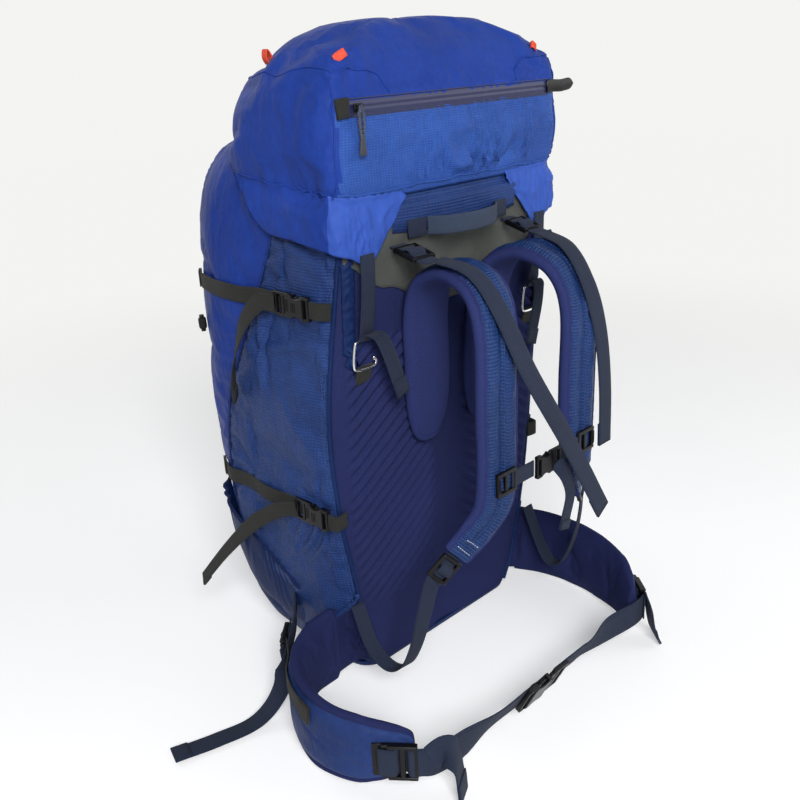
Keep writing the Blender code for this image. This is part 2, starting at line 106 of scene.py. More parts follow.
def makeRipstop():
    pitches = (("Row Pitch", 0.003), ("Square Pitch", 0.005))
    group, start, end = newGroup("ripstopRows", "Cloth", ("Height", "Rows"), pitches)
    x, y, _ = splitVector(group, start["Cloth"])
    wander = noiseField(group, start["Cloth"], 60.0, 1.0)
    shift = maths(group, "MULTIPLY", wander, 0.0012)
    row = halfWave(group, maths(group, "ADD", y, shift), start["Row Pitch"])
    square = halfWave(group, maths(group, "ADD", x, shift), start["Square Pitch"])
    square = maths(group, "POWER", square, 6.0)
    yarn = maths(group, "MULTIPLY", halfWave(group, x, 0.0009), halfWave(group, y, 0.0009))
    height = maths(group, "ADD", row, maths(group, "MULTIPLY", square, 0.35))
    height = maths(group, "ADD", height, maths(group, "MULTIPLY", yarn, 0.35))
    group.links.new(height, end["Height"])
    group.links.new(maths(group, "MULTIPLY", maths(group, "ADD", row, square), 0.5), end["Rows"])
    return group


def makeMottle():
    group, start, end = newGroup("clothMottle", "Place", ("Tone", "Crush"))
    broad = noiseField(group, start["Place"], 9.0, 4.0)
    fine = noiseField(group, start["Place"], 140.0, 3.0)
    tone = maths(group, "ADD", maths(group, "MULTIPLY", broad, 0.7), maths(group, "MULTIPLY", fine, 0.3))
    tone = maths(group, "MULTIPLY", maths(group, "SUBTRACT", tone, 0.29), 2.4, clamp=True)
    group.links.new(tone, end["Tone"])
    stretch = group.nodes.new("ShaderNodeMapping")
    tune(stretch, {"Scale": (34.0, 34.0, 12.0), "Rotation": (0.4, 0.3, 0.2)})
    group.links.new(start["Place"], stretch.inputs["Vector"])
    folds = noiseField(group, stretch.outputs["Vector"], 1.0, 5.0)
    crush = maths(group, "ABSOLUTE", maths(group, "SUBTRACT", folds, 0.5))
    group.links.new(maths(group, "MULTIPLY", crush, 2.0), end["Crush"])
    return group


def makeWebbing():
    group, start, end = newGroup("webbingTwill", "Cloth", ("Height", "Picks"), (("Pick Pitch", 0.0018),))
    x, y, _ = splitVector(group, start["Cloth"])
    lean = maths(group, "PINGPONG", x, 0.0024)
    slant = maths(group, "ADD", y, lean)
    pick = halfWave(group, slant, start["Pick Pitch"])
    cords = halfWave(group, x, 0.0012)
    height = maths(group, "ADD", pick, maths(group, "MULTIPLY", cords, 0.5))
    group.links.new(height, end["Height"])
    group.links.new(maths(group, "MULTIPLY", pick, cords), end["Picks"])
    return group


def makeKnit():
    group, start, end = newGroup("brushedKnit", "Cloth", ("Height", "Nap"))
    x, y, _ = splitVector(group, start["Cloth"])
    loops = maths(group, "MULTIPLY", halfWave(group, x, 0.0016), halfWave(group, y, 0.0014))
    nap = noiseField(group, start["Cloth"], 420.0, 2.0)
    group.links.new(maths(group, "ADD", loops, nap), end["Height"])
    group.links.new(nap, end["Nap"])
    return group


def makeScuff():
    group, start, end = newGroup("scuffedFace", "Place", ("Scuff", "Height"))
    stretch = group.nodes.new("ShaderNodeMapping")
    stretch.inputs["Scale"].default_value = (160.0, 60.0, 420.0)
    group.links.new(start["Place"], stretch.inputs["Vector"])
    lines = noiseField(group, stretch.outputs["Vector"], 1.0, 4.0)
    scuff = maths(group, "MULTIPLY", maths(group, "SUBTRACT", lines, 0.55), 5.0, clamp=True)
    group.links.new(scuff, end["Scuff"])
    group.links.new(noiseField(group, start["Place"], 900.0, 2.0), end["Height"])
    return group


groups = {
    "ripstop": makeRipstop(),
    "mottle": makeMottle(),
    "webbing": makeWebbing(),
    "knit": makeKnit(),
    "scuff": makeScuff(),
}
print("shader groups ready")


# Finishes

def shade(name):
    material = bpy.data.materials.new(name)
    material.use_nodes = True
    tree = material.node_tree
    return material, tree, tree.nodes["Principled BSDF"]


def place(tree, group, source):
    node = tree.nodes.new("ShaderNodeGroup")
    node.node_tree = groups[group]
    tree.links.new(source, node.inputs[0])
    return node


def clothPlace(tree):
    node = tree.nodes.new("ShaderNodeAttribute")
    node.attribute_name = "cloth"
    return node.outputs["Vector"]


def objectPlace(tree):
    node = tree.nodes.new("ShaderNodeTexCoord")
    return node.outputs["Object"]


def blendColour(tree, factor, dark, light):
    node = tree.nodes.new("ShaderNodeMix")
    node.data_type = "RGBA"
    tree.links.new(factor, node.inputs["Factor"])
    for socket, value in zip((node.inputs[6], node.inputs[7]), (dark, light)):
        if isinstance(value, tuple):
            socket.default_value = (*value, 1.0)
        else:
            tree.links.new(value, socket)
    return node.outputs[2]


def spread(tree, value, low, high):
    node = tree.nodes.new("ShaderNodeMapRange")
    tune(node, {"To Min": low, "To Max": high})
    tree.links.new(value, node.inputs["Value"])
    return node.outputs[0]


def bump(tree, shader, height, depth, strength=1.0, under=None):
    node = tree.nodes.new("ShaderNodeBump")
    tune(node, {"Strength": strength, "Distance": depth})
    tree.links.new(height, node.inputs["Height"])
    if under is not None:
        tree.links.new(under, node.inputs["Normal"])
    tree.links.new(node.outputs[0], shader.inputs["Normal"])
    return node.outputs[0]


def ripstopCloth(name, look):
    material, tree, shader = shade(name)
    weave = place(tree, "ripstop", clothPlace(tree))
    tune(weave, {"Row Pitch": look["rows"], "Square Pitch": look["squares"]})
    mottle = place(tree, "mottle", objectPlace(tree))
    ground = blendColour(tree, mottle.outputs["Tone"], look["dark"], look["light"])
    thread = blendColour(tree, weave.outputs["Rows"], ground, look["thread"])
    faded = tree.nodes.new("ShaderNodeMix")
    faded.data_type = "RGBA"
    faded.inputs["Factor"].default_value = look["threadShow"]
    tree.links.new(ground, faded.inputs[6])
    tree.links.new(thread, faded.inputs[7])
    tree.links.new(faded.outputs[2], shader.inputs["Base Color"])
    tree.links.new(spread(tree, mottle.outputs["Crush"], *look["rough"]), shader.inputs["Roughness"])
    crush = bump(tree, shader, mottle.outputs["Crush"], look["crushDepth"], 0.7)
    bump(tree, shader, weave.outputs["Height"], look["depth"], look["weaveShow"], crush)
    tune(shader, {"Specular IOR Level": look["shine"], "Sheen Weight": look["sheen"], "Sheen Roughness": 0.4,
                  "Sheen Tint": (*look["thread"], 1.0)})
    return material


def softCloth(name, look, group, fleck, rough, depth, show, shine):
    material, tree, shader = shade(name)
    weave = place(tree, group, clothPlace(tree))
    mottle = place(tree, "mottle", objectPlace(tree))
    ground = blendColour(tree, mottle.outputs["Tone"], look["dark"], look["light"])
    colour = blendColour(tree, weave.outputs[fleck], ground, look["thread"])
    tree.links.new(colour, shader.inputs["Base Color"])
    tree.links.new(spread(tree, mottle.outputs["Tone"], *rough), shader.inputs["Roughness"])
    bump(tree, shader, weave.outputs["Height"], depth, show)
    shader.inputs["Specular IOR Level"].default_value = shine
    return material, shader


def webbingCloth(name, look):
    material, shader = softCloth(name, look, "webbing", "Picks", (0.6, 0.85), 0.0004, 0.8, 0.08)
    shader.inputs["Sheen Weight"].default_value = 0.04
    return material


def knitCloth(name, look):
    material, shader = softCloth(name, look, "knit", "Nap", (0.75, 0.95), 0.0003, 0.6, 0.06)
    tune(shader, {"Sheen Weight": look["sheen"], "Sheen Roughness": 0.5,
                  "Sheen Tint": (*look["thread"], 1.0)})
    return material


def mouldedFace(name, look):
    material, tree, shader = shade(name)
    scuff = place(tree, "scuff", objectPlace(tree))
    colour = blendColour(tree, scuff.outputs["Scuff"], look["dark"], look["light"])
    tree.links.new(colour, shader.inputs["Base Color"])
    tree.links.new(spread(tree, scuff.outputs["Scuff"], *look["rough"]), shader.inputs["Roughness"])
    bump(tree, shader, scuff.outputs["Height"], 0.0001, look["grain"])
    tune(shader, {"Metallic": look["metal"], "Specular IOR Level": look["shine"]})
    return material


plainWeave = dict(
    threadShow=0.25, rows=0.0012, squares=0.0012, rough=(0.38, 0.54), depth=0.0002, weaveShow=0.4,
    crushDepth=0.0042, shine=0.05, sheen=0.0)
finishes = {
    "lidRib": ripstopCloth("royal_ripstop", dict(
        plainWeave, dark=(0.012, 0.036, 0.175), light=(0.029, 0.081, 0.330), thread=(0.062, 0.155, 0.500),
        threadShow=0.34, rows=0.0026, squares=0.0040, depth=0.0004, weaveShow=0.65, crushDepth=0.0035,
        shine=0.07)),
    "royal": ripstopCloth("royal_taffeta", dict(
        plainWeave, dark=(0.008, 0.023, 0.155), light=(0.016, 0.046, 0.275), thread=(0.027, 0.078, 0.360),
        rows=0.0011, squares=0.0011)),
    "skirt": ripstopCloth("royal_skirt", dict(
        plainWeave, dark=(0.021, 0.053, 0.280), light=(0.040, 0.096, 0.420), thread=(0.068, 0.150, 0.520),
        shine=0.06)),
    "navy": ripstopCloth("navy_ripstop", dict(
        plainWeave, dark=(0.007, 0.018, 0.080), light=(0.018, 0.043, 0.160), thread=(0.038, 0.086, 0.268),
        threadShow=0.40, rows=0.0036, squares=0.0042, rough=(0.34, 0.50), depth=0.0005, weaveShow=0.75,
        crushDepth=0.0045, shine=0.09)),
    # navy taffeta: its own colour darkened further as painted shade for the pocket, base and lower sides,
    # which the light from above leaves darker
    "navyPlain": ripstopCloth("navy_taffeta_shaded", dict(
        plainWeave, dark=(0.0045, 0.0115, 0.052), light=(0.0085, 0.0230, 0.092), thread=(0.018, 0.043, 0.138),
        rough=(0.40, 0.56), crushDepth=0.0038)),
    "wing": ripstopCloth("wing_taffeta", dict(
        plainWeave, dark=(0.011, 0.023, 0.092), light=(0.022, 0.044, 0.158), thread=(0.038, 0.074, 0.220),
        rough=(0.42, 0.58))),
    "strapRib": ripstopCloth("strap_ripstop", dict(
        plainWeave, dark=(0.003, 0.010, 0.052), light=(0.008, 0.028, 0.120), thread=(0.036, 0.098, 0.290),
        threadShow=0.50, rows=0.0040, squares=0.0036, rough=(0.30, 0.44), depth=0.0006, weaveShow=0.9,
        crushDepth=0.0035, shine=0.14)),
    # purple knit lining: its own colour darkened further as painted shade for the back panel between the
    # straps; pad_knit on the strap edges is the lighter copy
    "lining": knitCloth("purple_knit_shaded", dict(
        dark=(0.0075, 0.0100, 0.043), light=(0.0140, 0.0185, 0.072), thread=(0.0215, 0.0285, 0.098),
        sheen=0.05)),
    "padKnit": knitCloth("pad_knit", dict(
        dark=(0.010, 0.014, 0.061), light=(0.019, 0.026, 0.100), thread=(0.029, 0.039, 0.134), sheen=0.04)),
    "slate": webbingCloth("slate_webbing", dict(
        dark=(0.008, 0.011, 0.025), light=(0.016, 0.023, 0.046), thread=(0.031, 0.044, 0.081))),
    "olive": webbingCloth("olive_webbing", dict(
        dark=(0.010, 0.0105, 0.010), light=(0.020, 0.021, 0.019), thread=(0.042, 0.044, 0.040))),
    "loopWeb": webbingCloth("loop_webbing", dict(
        dark=(0.018, 0.025, 0.046), light=(0.032, 0.046, 0.080), thread=(0.064, 0.088, 0.140))),
    "patch": ripstopCloth("olive_patch", dict(
        plainWeave, dark=(0.046, 0.049, 0.046), light=(0.076, 0.081, 0.076), thread=(0.120, 0.126, 0.118),
        threadShow=0.30, rows=0.0014, squares=0.0014, rough=(0.50, 0.68), depth=0.0003, weaveShow=0.5,
        crushDepth=0.0022, shine=0.16, sheen=0.05)),
    "red": knitCloth("red_tape", dict(
        dark=(0.420, 0.030, 0.020), light=(0.620, 0.060, 0.030), thread=(0.750, 0.120, 0.070), sheen=0.1)),
    "plastic": mouldedFace("black_moulding", dict(
        dark=(0.0030, 0.0030, 0.0040), light=(0.008, 0.008, 0.010), rough=(0.32, 0.52), grain=0.4, metal=0.0,
        shine=0.20)),
    "wire": mouldedFace("bright_wire", dict(
        dark=(0.62, 0.62, 0.64), light=(0.42, 0.42, 0.44), rough=(0.20, 0.45), grain=0.2, metal=1.0,
        shine=0.5)),
    "sheet": mouldedFace("frame_sheet_black", dict(
        dark=(0.030, 0.030, 0.032), light=(0.060, 0.060, 0.064), rough=(0.40, 0.60), grain=0.5, metal=0.0,
        shine=0.3)),
    "stay": mouldedFace("stay_bar", dict(
        dark=(0.66, 0.66, 0.68), light=(0.50, 0.50, 0.52), rough=(0.28, 0.48), grain=0.3, metal=1.0,
        shine=0.5)),
    "zipTape": mouldedFace("coated_zip_tape", dict(
        dark=(0.017, 0.020, 0.066), light=(0.022, 0.026, 0.080), rough=(0.28, 0.36), grain=0.2, metal=0.0,
        shine=0.3)),
    "thread": knitCloth("pale_thread", dict(
        dark=(0.022, 0.046, 0.150), light=(0.036, 0.070, 0.200), thread=(0.060, 0.105, 0.260), sheen=0.0)),
    "darkThread": knitCloth("dark_thread", dict(
        dark=(0.004, 0.008, 0.034), light=(0.008, 0.014, 0.052), thread=(0.014, 0.024, 0.078), sheen=0.02)),
    "whiteThread": knitCloth("white_thread", dict(
        dark=(0.420, 0.460, 0.560), light=(0.520, 0.560, 0.640), thread=(0.640, 0.670, 0.720), sheen=0.02)),
}
for name in ("sheet", "stay"):
    nodes["frame_" + name].data.materials.clear()
    nodes["frame_" + name].data.materials.append(finishes[name])
print("finishes ready", len(finishes))


# Shape tools

across = Vector((1.0, 0.0, 0.0))
forward = Vector((0.0, 1.0, 0.0))
rearward = Vector((0.0, -1.0, 0.0))
upward = Vector((0.0, 0.0, 1.0))
hands = ((-1.0, "left"), (1.0, "right"))


def facing(direction):
    return lambda p: direction


def smoothAt(keys, z):
    last = len(keys) - 1
    i = 0
    while i < last - 1 and z > keys[i + 1][0]:
        i += 1
    a, b = keys[i], keys[i + 1]
    before = keys[max(i - 1, 0)]
    after = keys[min(i + 2, last)]
    span = b[0] - a[0]
    t = (z - a[0]) / span
    found = []
    for k in range(1, len(a)):
        slopeA = (b[k] - before[k]) / (b[0] - before[0])
        slopeB = (after[k] - a[k]) / (after[0] - a[0])
        h = t * t * (3 - 2 * t)
        rise = a[k] + (b[k] - a[k]) * h + slopeA * span * t * (1 - t) ** 2
        found.append(rise - slopeB * span * t * t * (1 - t))
    return found


def arcPoints(cx, cy, radius, start, stop, steps):
    angles = [math.radians(start + (stop - start) * i / steps) for i in range(steps + 1)]
    return [Vector((cx + radius * math.cos(a), cy + radius * math.sin(a), 0.0)) for a in angles]


def lengthsAlong(points):
    lengths = [0.0]
    for a, b in zip(points, points[1:]):
        lengths.append(lengths[-1] + (b - a).length)
    return lengths


def resample(points, count):
    lengths = lengthsAlong(points)
    found = []
    k = 0
    for i in range(count):
        goal = lengths[-1] * i / (count - 1)
        while k < len(points) - 2 and lengths[k + 1] < goal:
            k += 1
        span = lengths[k + 1] - lengths[k]
        t = (goal - lengths[k]) / span if span > 0 else 0.0
        found.append(points[k].lerp(points[k + 1], min(t, 1.0)))
    return found


def smoothLine(stops, steps):
    stops = [Vector(s) for s in stops]
    ends = [stops[0] * 2 - stops[1]] + stops + [stops[-1] * 2 - stops[-2]]
    line = []
    for a, b, c, d in zip(ends, ends[1:], ends[2:], ends[3:]):
        for i in range(steps):
            t = i / steps
            bend = (a * 2 - b * 5 + c * 4 - d) * t * t + (b * 3 - a - c * 3 + d) * t ** 3
            line.append((b * 2 + (c - a) * t + bend) * 0.5)
    line.append(stops[-1])
    return line


def bell(value, middle, width):
    return math.exp(-((value - middle) / width) ** 2)


def ease(value, low, high):
    t = min(max((value - low) / (high - low), 0.0), 1.0)
    return t * t * (3 - 2 * t)


def valueAt(values, where):
    k = min(int(where), len(values) - 2)
    return values[k] + (values[k + 1] - values[k]) * (where - k)


def swing(turns):
    return math.sin(2 * math.pi * turns)


def grain(x, y, z):
    return noise.noise(Vector((x, y, z)))


def folds(p, seed, scale):
    shift = Vector((seed * 7.3, seed * 3.1, seed * 5.7))
    q = Vector((p.x * scale[0], p.y * scale[1], p.z * scale[2])) + shift
    warp = noise.noise(q * 0.5)
    n = noise.noise(q + Vector((warp, warp, -warp)))
    return (1.0 - min(abs(n) * 2.2, 1.0)) ** 3


def clothMesh(rows, closed=False, cap=False, faceFinish=None):
    bm = bmesh.new()
    layer = bm.loops.layers.float_vector.new("cloth")
    verts = [[bm.verts.new(p) for p in row] for row in rows]
    count = len(rows[0])
    middle = rows[len(rows) // 2]
    us = [0.0]
    for c in range(count if closed else count - 1):
        us.append(us[-1] + (middle[(c + 1) % count] - middle[c]).length)
    vs = [0.0]
    column = count // 2
    for low, high in zip(rows, rows[1:]):
        vs.append(vs[-1] + (high[column] - low[column]).length)
    for r in range(len(rows) - 1):
        for c in range(count if closed else count - 1):
            d = (c + 1) % count
            face = bm.faces.new((verts[r][c], verts[r][d], verts[r + 1][d], verts[r + 1][c]))
            for loop, (i, j) in zip(face.loops, ((c, r), (c + 1, r), (c + 1, r + 1), (c, r + 1))):
                loop[layer] = (us[i], vs[j], 0.0)
            if faceFinish is not None:
                face.material_index = faceFinish(c / count, (r + 0.5) / (len(rows) - 1))
    if cap:
        for ring in (verts[0], verts[-1]):
            face = bm.faces.new(ring)
            if faceFinish is not None:
                face.material_index = faceFinish(0.0, 0.0)
    return bm


def sheetRows(rows, cols, point):
    return [[point(r / (rows - 1), c / (cols - 1)) for c in range(cols)] for r in range(rows)]


def makePiece(name, bm, finish, outward=None):
    if outward is None:
        bmesh.ops.recalc_face_normals(bm, faces=bm.faces[:])
    else:
        bm.normal_update()
        total = sum((f.normal.dot(outward(f.calc_center_median())) * f.calc_area() for f in bm.faces))
        if total < 0:
            bmesh.ops.reverse_faces(bm, faces=bm.faces[:])
    mesh = bpy.data.meshes.new(name)
    bm.to_mesh(mesh)
    bm.free()
    mesh.shade_smooth()
    for one in finish if isinstance(finish, (list, tuple)) else [finish]:
        mesh.materials.append(finishes[one])
    obj = bpy.data.objects.new(name, mesh)
    scene.collection.objects.link(obj)
    return obj


def hold(obj, body, slot, *replaced):
    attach(obj, body)
    if replaced:
        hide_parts(*replaced)
    return obj


def thicken(obj, thick, offset=-1.0):
    modifier = obj.modifiers.new("thickness", "SOLIDIFY")
    modifier.thickness = thick
    modifier.offset = offset
    return obj


def soften(obj, levels=1):
    modifier = obj.modifiers.new("round", "SUBSURF")
    modifier.levels = levels
    modifier.render_levels = levels
    return obj


settling = []


def willSettle(obj, pins, slack, pressure, cap):
    group = obj.vertex_groups.new(name="held")
    for index, weight in pins.items():
        group.add([index], weight, "REPLACE")
    settling.append((obj, slack, pressure, cap))
    return obj


def settleAll(frames=20):
    if not settling:
        settling.clear()
        return
    starts = {}
    for obj, slack, pressure, _ in settling:
        starts[obj.name] = [v.co.copy() for v in obj.data.vertices]
        cloth = obj.modifiers.new("settle", "CLOTH")
        rules = cloth.settings
        rules.quality = 6
        rules.mass = 0.2
        rules.tension_stiffness = 20.0
        rules.compression_stiffness = 20.0
        rules.shear_stiffness = 8.0
        rules.bending_stiffness = 0.25
        rules.tension_damping = 8.0
        rules.compression_damping = 8.0
        rules.air_damping = 4.0
        rules.vertex_group_mass = "held"
        rules.pin_stiffness = 1.0
        rules.shrink_min = -slack
        rules.use_pressure = True
        rules.uniform_pressure_force = pressure
        rules.effector_weights.gravity = 0.0
        cloth.collision_settings.use_collision = False
        cloth.point_cache.frame_start = 1
        cloth.point_cache.frame_end = frames
    for f in range(1, frames + 1):
        scene.frame_set(f)
    graph = bpy.context.evaluated_depsgraph_get()
    for obj, _, _, cap in settling:
        ready = obj.evaluated_get(graph)
        ends = [v.co.copy() for v in ready.data.vertices]
        for vertex, first, last in zip(obj.data.vertices, starts[obj.name], ends):
            move = last - first
            if move.length > cap:
                move *= cap / move.length
            vertex.co = first + move
        obj.modifiers.remove(obj.modifiers["settle"])
        obj.data.update()
    scene.frame_set(1)
    print("cloth settled", len(settling))
    settling.clear()


def surfaceOf(*objects):
    verts = []
    faces = []
    for obj in objects:
        base = len(verts)
        verts.extend(v.co.copy() for v in obj.data.vertices)
        faces.extend([base + i for i in p.vertices] for p in obj.data.polygons)
    return BVHTree.FromPolygons(verts, faces)


def onSurface(tree, point, lift=0.0):
    spot, normal, _, _ = tree.find_nearest(point)
    return spot + normal * lift, normal


print("tools ready")


# Sack

sack = {
    "keys": (
        (0.000, 0.143, -0.128, 0.062),
        (0.040, 0.158, -0.131, 0.104),
        (0.110, 0.170, -0.136, 0.132),
        (0.220, 0.182, -0.142, 0.144),
        (0.360, 0.189, -0.149, 0.145),
        (0.500, 0.187, -0.157, 0.138),
        (0.600, 0.181, -0.164, 0.122),
        (0.650, 0.160, -0.168, 0.098),
        (0.668, 0.130, -0.168, 0.066),
    ),
    "rear": 0.030,
    "nose": 0.085,
    "seamY": ((0.010, 0.036), (0.060, 0.062), (0.205, 0.074), (0.359, 0.044), (0.436, 0.002), (0.508, -0.036),
              (0.574, -0.066), (0.664, -0.086)),
    "seamTurn": ((0.010, 240.0), (0.144, 238.0), (0.242, 220.0), (0.366, 212.0), (0.541, 234.0),
                 (0.600, 236.0)),
    "sideTop": 0.596,
    "frontTop": 0.664,
    "low": 0.0100,
    "straps": (0.495, 0.240),
    "creases": (        # from y, z to y, z, then depth and width
        (-0.022, 0.488, -0.036, 0.378, 0.0050, 0.0070),
        (-0.030, 0.430, -0.144, 0.459, 0.0032, 0.0080),
        (0.023, 0.391, -0.026, 0.431, 0.0036, 0.0070),
        (-0.066, 0.171, -0.108, 0.234, 0.0048, 0.0060),
        (-0.090, 0.172, -0.124, 0.236, 0.0048, 0.0060),
        (-0.040, 0.160, -0.082, 0.232, 0.0036, 0.0060),
        (-0.127, 0.301, -0.097, 0.262, 0.0034, 0.0080),
        (-0.030, 0.540, -0.080, 0.505, 0.0034, 0.0080),
        (-0.060, 0.575, -0.150, 0.530, 0.0028, 0.0080),
    ),
}


def halfLine(z):
    half, back, front = smoothAt(sack["keys"], z)
    nose, rear = sack["nose"], sack["rear"]
    turn = smoothAt(sack["seamTurn"], min(z, 0.6))[0]
    line = [Vector((-(half - nose) * i / 8, front, 0.0)) for i in range(8)]
    line += arcPoints(-half + nose, front - nose, nose, 90, 180, 18)
    sideEnd = arcPoints(-half + rear, back + rear, rear, 180, turn, 8)
    line += [line[-1].lerp(sideEnd[0], i / 20) for i in range(1, 20)] + sideEnd
    rest = arcPoints(-half + rear, back + rear, rear, turn, 270, 6)
    backLine = rest + [rest[-1].lerp(Vector((0.0, back, 0.0)), i / 10) for i in range(1, 11)]
    return line, backLine


def splitSide(z):
    line, backLine = halfLine(z)
    seam = smoothAt(sack["seamY"], z)[0]
    seam = min(seam, line[0].y - 0.004)
    for i, (a, b) in enumerate(zip(line, line[1:])):
        if a.y >= seam > b.y:
            t = (a.y - seam) / (a.y - b.y)
            cut = a.lerp(b, t)
            return line[:i + 1] + [cut], [cut] + line[i + 1:], backLine
    return line, line[-2:], backLine


def lifted(points, z, side):
    return [Vector((p.x * side, p.y, z)) for p in points]


def crease(p):
    out = 0.0
    for y0, z0, y1, z1, depth, width in sack["creases"]:
        start, run = Vector((y0, z0)), Vector((y1 - y0, z1 - z0))
        away = Vector((p.y, p.z)) - start
        t = away.dot(run) / run.length_squared
        d = (away.x * run.y - away.y * run.x) / run.length
        fade = ease(t, -0.15, 0.25) * (1 - ease(t, 0.75, 1.15))
        out += depth * fade * (0.55 * bell(d, 1.5 * width, width) - bell(d, 0.0, width))
    return out


def swell(p, seed, straps=True):
    out = 0.0028 * noise.noise(p * 9.0 + Vector((seed, 0.0, 0.0)))
    out += 0.0064 * folds(p, seed, (12.0, 12.0, 8.0)) * noise.noise(p * 5.0 + Vector((0.0, seed, 2.0)))
    if straps:
        out += crease(p)
        for z in sack["straps"]:
            out -= 0.0030 * bell(p.z, z, 0.020)
            out += 0.0012 * bell(p.z, z + 0.050, 0.030) + 0.0012 * bell(p.z, z - 0.050, 0.030)
    return out


def outFromAxis(p):
    return Vector((p.x, p.y, 0.0)).normalized() if abs(p.x) + abs(p.y) > 1e-6 else -upward


def gridPins(rows, cols, left=True, right=True, low=True, high=True):
    pins = {}
    for r in range(rows):
        for c in range(cols):
            if (left and c == 0) or (right and c == cols - 1) or (low and r == 0) or (high and r == rows - 1):
                pins[r * cols + c] = 1.0
    return pins


def sideCloth(side, name):
    rows, cols = 132, 66
    grid = []
    for r in range(rows):
        z = sack["low"] + (sack["sideTop"] - sack["low"]) * r / (rows - 1)
        points = lifted(resample(splitSide(z)[1], cols), z, side)
        row = []
        for c, p in enumerate(points):
            edge = ease(min(c, cols - 1 - c) / cols, 0.0, 0.10)
            normal = Vector((side, 0.0, 0.0)) if 0.25 < c / cols < 0.85 else outFromAxis(p)
            row.append(p + normal * swell(p, 3.0 if side > 0 else 1.0) * edge)
        grid.append(row)
    obj = makePiece("side_cloth_" + name, clothMesh(grid), "navy", outFromAxis)
    pins = gridPins(rows, cols)
    for r in range(rows):
        for c in range(cols):
            z = sack["low"] + (sack["sideTop"] - sack["low"]) * r / (rows - 1)
            if any(abs(z - s) < 0.010 for s in sack["straps"]) and c > cols * 0.15:
                pins.setdefault(r * cols + c, 0.7)
    return willSettle(obj, pins, 0.022, 1.6, 0.0065)


def frontLine(z, cols):
    half = resample(splitSide(z)[0], cols // 2 + 1)
    return [Vector((-p.x, p.y, z)) for p in reversed(half)] + [Vector((p.x, p.y, z)) for p in half[1:]]


def frontCloth():
    rows, cols = 146, 121
    top = sack["frontTop"]
    grid = []
    for r in range(rows):
        z = sack["low"] + (top - sack["low"]) * r / (rows - 1)
        row = []
        for c, p in enumerate(frontLine(z, cols)):
            edge = ease(min(c, cols - 1 - c) / cols, 0.0, 0.06)
            row.append(p + outFromAxis(p) * swell(p, 5.0, False) * edge)
        grid.append(row)
    obj = makePiece("front_cloth", clothMesh(grid), "royal", outFromAxis)
    return willSettle(obj, gridPins(rows, cols), 0.020, 1.4, 0.0065)


def frontRoof():
    rows, cols = 24, 121
    grid = []
    z = sack["frontTop"]
    rim = frontLine(z, cols)
    for r in range(rows):
        t = r / (rows - 1)
        drop = 0.004 * math.sin(math.pi * min(t * 1.6, 1.0)) - 0.030 * t * t
        grid.append([Vector((p.x * (1 - 0.45 * t), p.y + (-0.060 - p.y) * 0.62 * t, z + drop)) for p in rim])
    obj = makePiece("front_roof", clothMesh(grid), "royal", facing(upward))
    return willSettle(obj, gridPins(rows, cols), 0.02, 0.8, 0.005)


backPanel = {
    "pitch": 0.0172,
    "deep": 0.0062,
    "slope": 0.74,
    "inner": 0.014,
    "outer": 0.172,
    "low": 0.085,
    "top": 0.455,
}


def backRidge(p):
    x = abs(p.x)
    inner, outer, low, top = (backPanel[edge] for edge in ("inner", "outer", "low", "top"))
    fade = ease(x, inner, inner + 0.03) * (1 - ease(x, outer - 0.012, outer))
    fade *= ease(p.z, low, low + 0.07)
    fade *= 1 - ease(p.z, top - 0.01, top)
    turns = (p.z + backPanel["slope"] * x) / backPanel["pitch"]
    saw = turns - math.floor(turns)
    rise = math.sin(math.pi * saw ** 1.35)
    return fade * backPanel["deep"] * (rise - 0.35)


def backCloth():
    rows, cols = 260, 150
    front = []
    for r in range(rows):
        z = sack["low"] + (0.590 - sack["low"]) * r / (rows - 1)
        half = splitSide(z)[2]
        line = [Vector((p.x, p.y, z)) for p in half] + [Vector((-p.x, p.y, z)) for p in reversed(half[:-1])]
        line = resample(line, cols)
        row = []
        for c, p in enumerate(line):
            edge = ease(min(c, cols - 1 - c) / cols, 0.0, 0.08)
            channel = -0.0030 * bell(p.x, 0.0, 0.020)
            crown = 0.0015 * noise.noise(p * 7.0) + 0.002 * bell(abs(p.x), 0.085, 0.045)
            row.append(p + rearward * (backRidge(p) + channel + crown) * edge)
        front.append(row)
    obj = makePiece("back_cloth", clothMesh(front), "lining", facing(rearward))
    return thicken(obj, 0.010)


def baseCloth():
    rings = []
    line, backLine = halfLine(sack["low"])
    half = line + backLine[1:]
    ring = half + [Vector((-p.x, p.y, 0.0)) for p in reversed(half[1:-1])]
    ring = resample(ring + [ring[0]], 161)[:-1]
    centre = Vector((0.0, -0.02, 0.0))
    rims = ((1.0, 0.0115), (1.0, 0.010), (0.985, 0.004), (0.955, 0.0008), (0.90, 0.0), (0.6, 0.0), (0.3, 0.0))
    for grow, z in rims:
        rings.append([Vector((centre.x + (p.x - centre.x) * grow, centre.y + (p.y - centre.y) * grow, z))
                      for p in ring])
    full = clothMesh(rings, closed=True)
    full.faces.new([v for v in full.verts][-160:])
    obj = makePiece("base_cloth", full, "navyPlain", facing(-upward))
    return thicken(obj, 0.002)


sideClothLeft = sideCloth(-1.0, "left")
sideClothRight = sideCloth(1.0, "right")
frontClothPiece = frontCloth()
frontRoofPiece = frontRoof()
backClothPiece = backCloth()
baseClothPiece = baseCloth()
print("sack cut")


# Lid

lid = {
    "keys": (
        (0.605, 0.180, -0.168, 0.018),
        (0.625, 0.188, -0.172, 0.034),
        (0.690, 0.189, -0.172, 0.032),
        (0.715, 0.187, -0.172, 0.014),
        (0.740, 0.178, -0.166, -0.012),
        (0.762, 0.155, -0.150, -0.040),
        (0.776, 0.110, -0.125, -0.065),
    ),
    "rear": 0.022,
    "nose": 0.070,
    "low": 0.605,
    "crown": 0.776,
    "zipZ": 0.699,
    "zipHalf": 0.0105,
    "hemZ": 0.612,
    "gather": 0.0105,
    "gussetX": 0.104,
    "gussetZ": 0.738,
    "topZ": 0.742,
    "columns": 220,
}


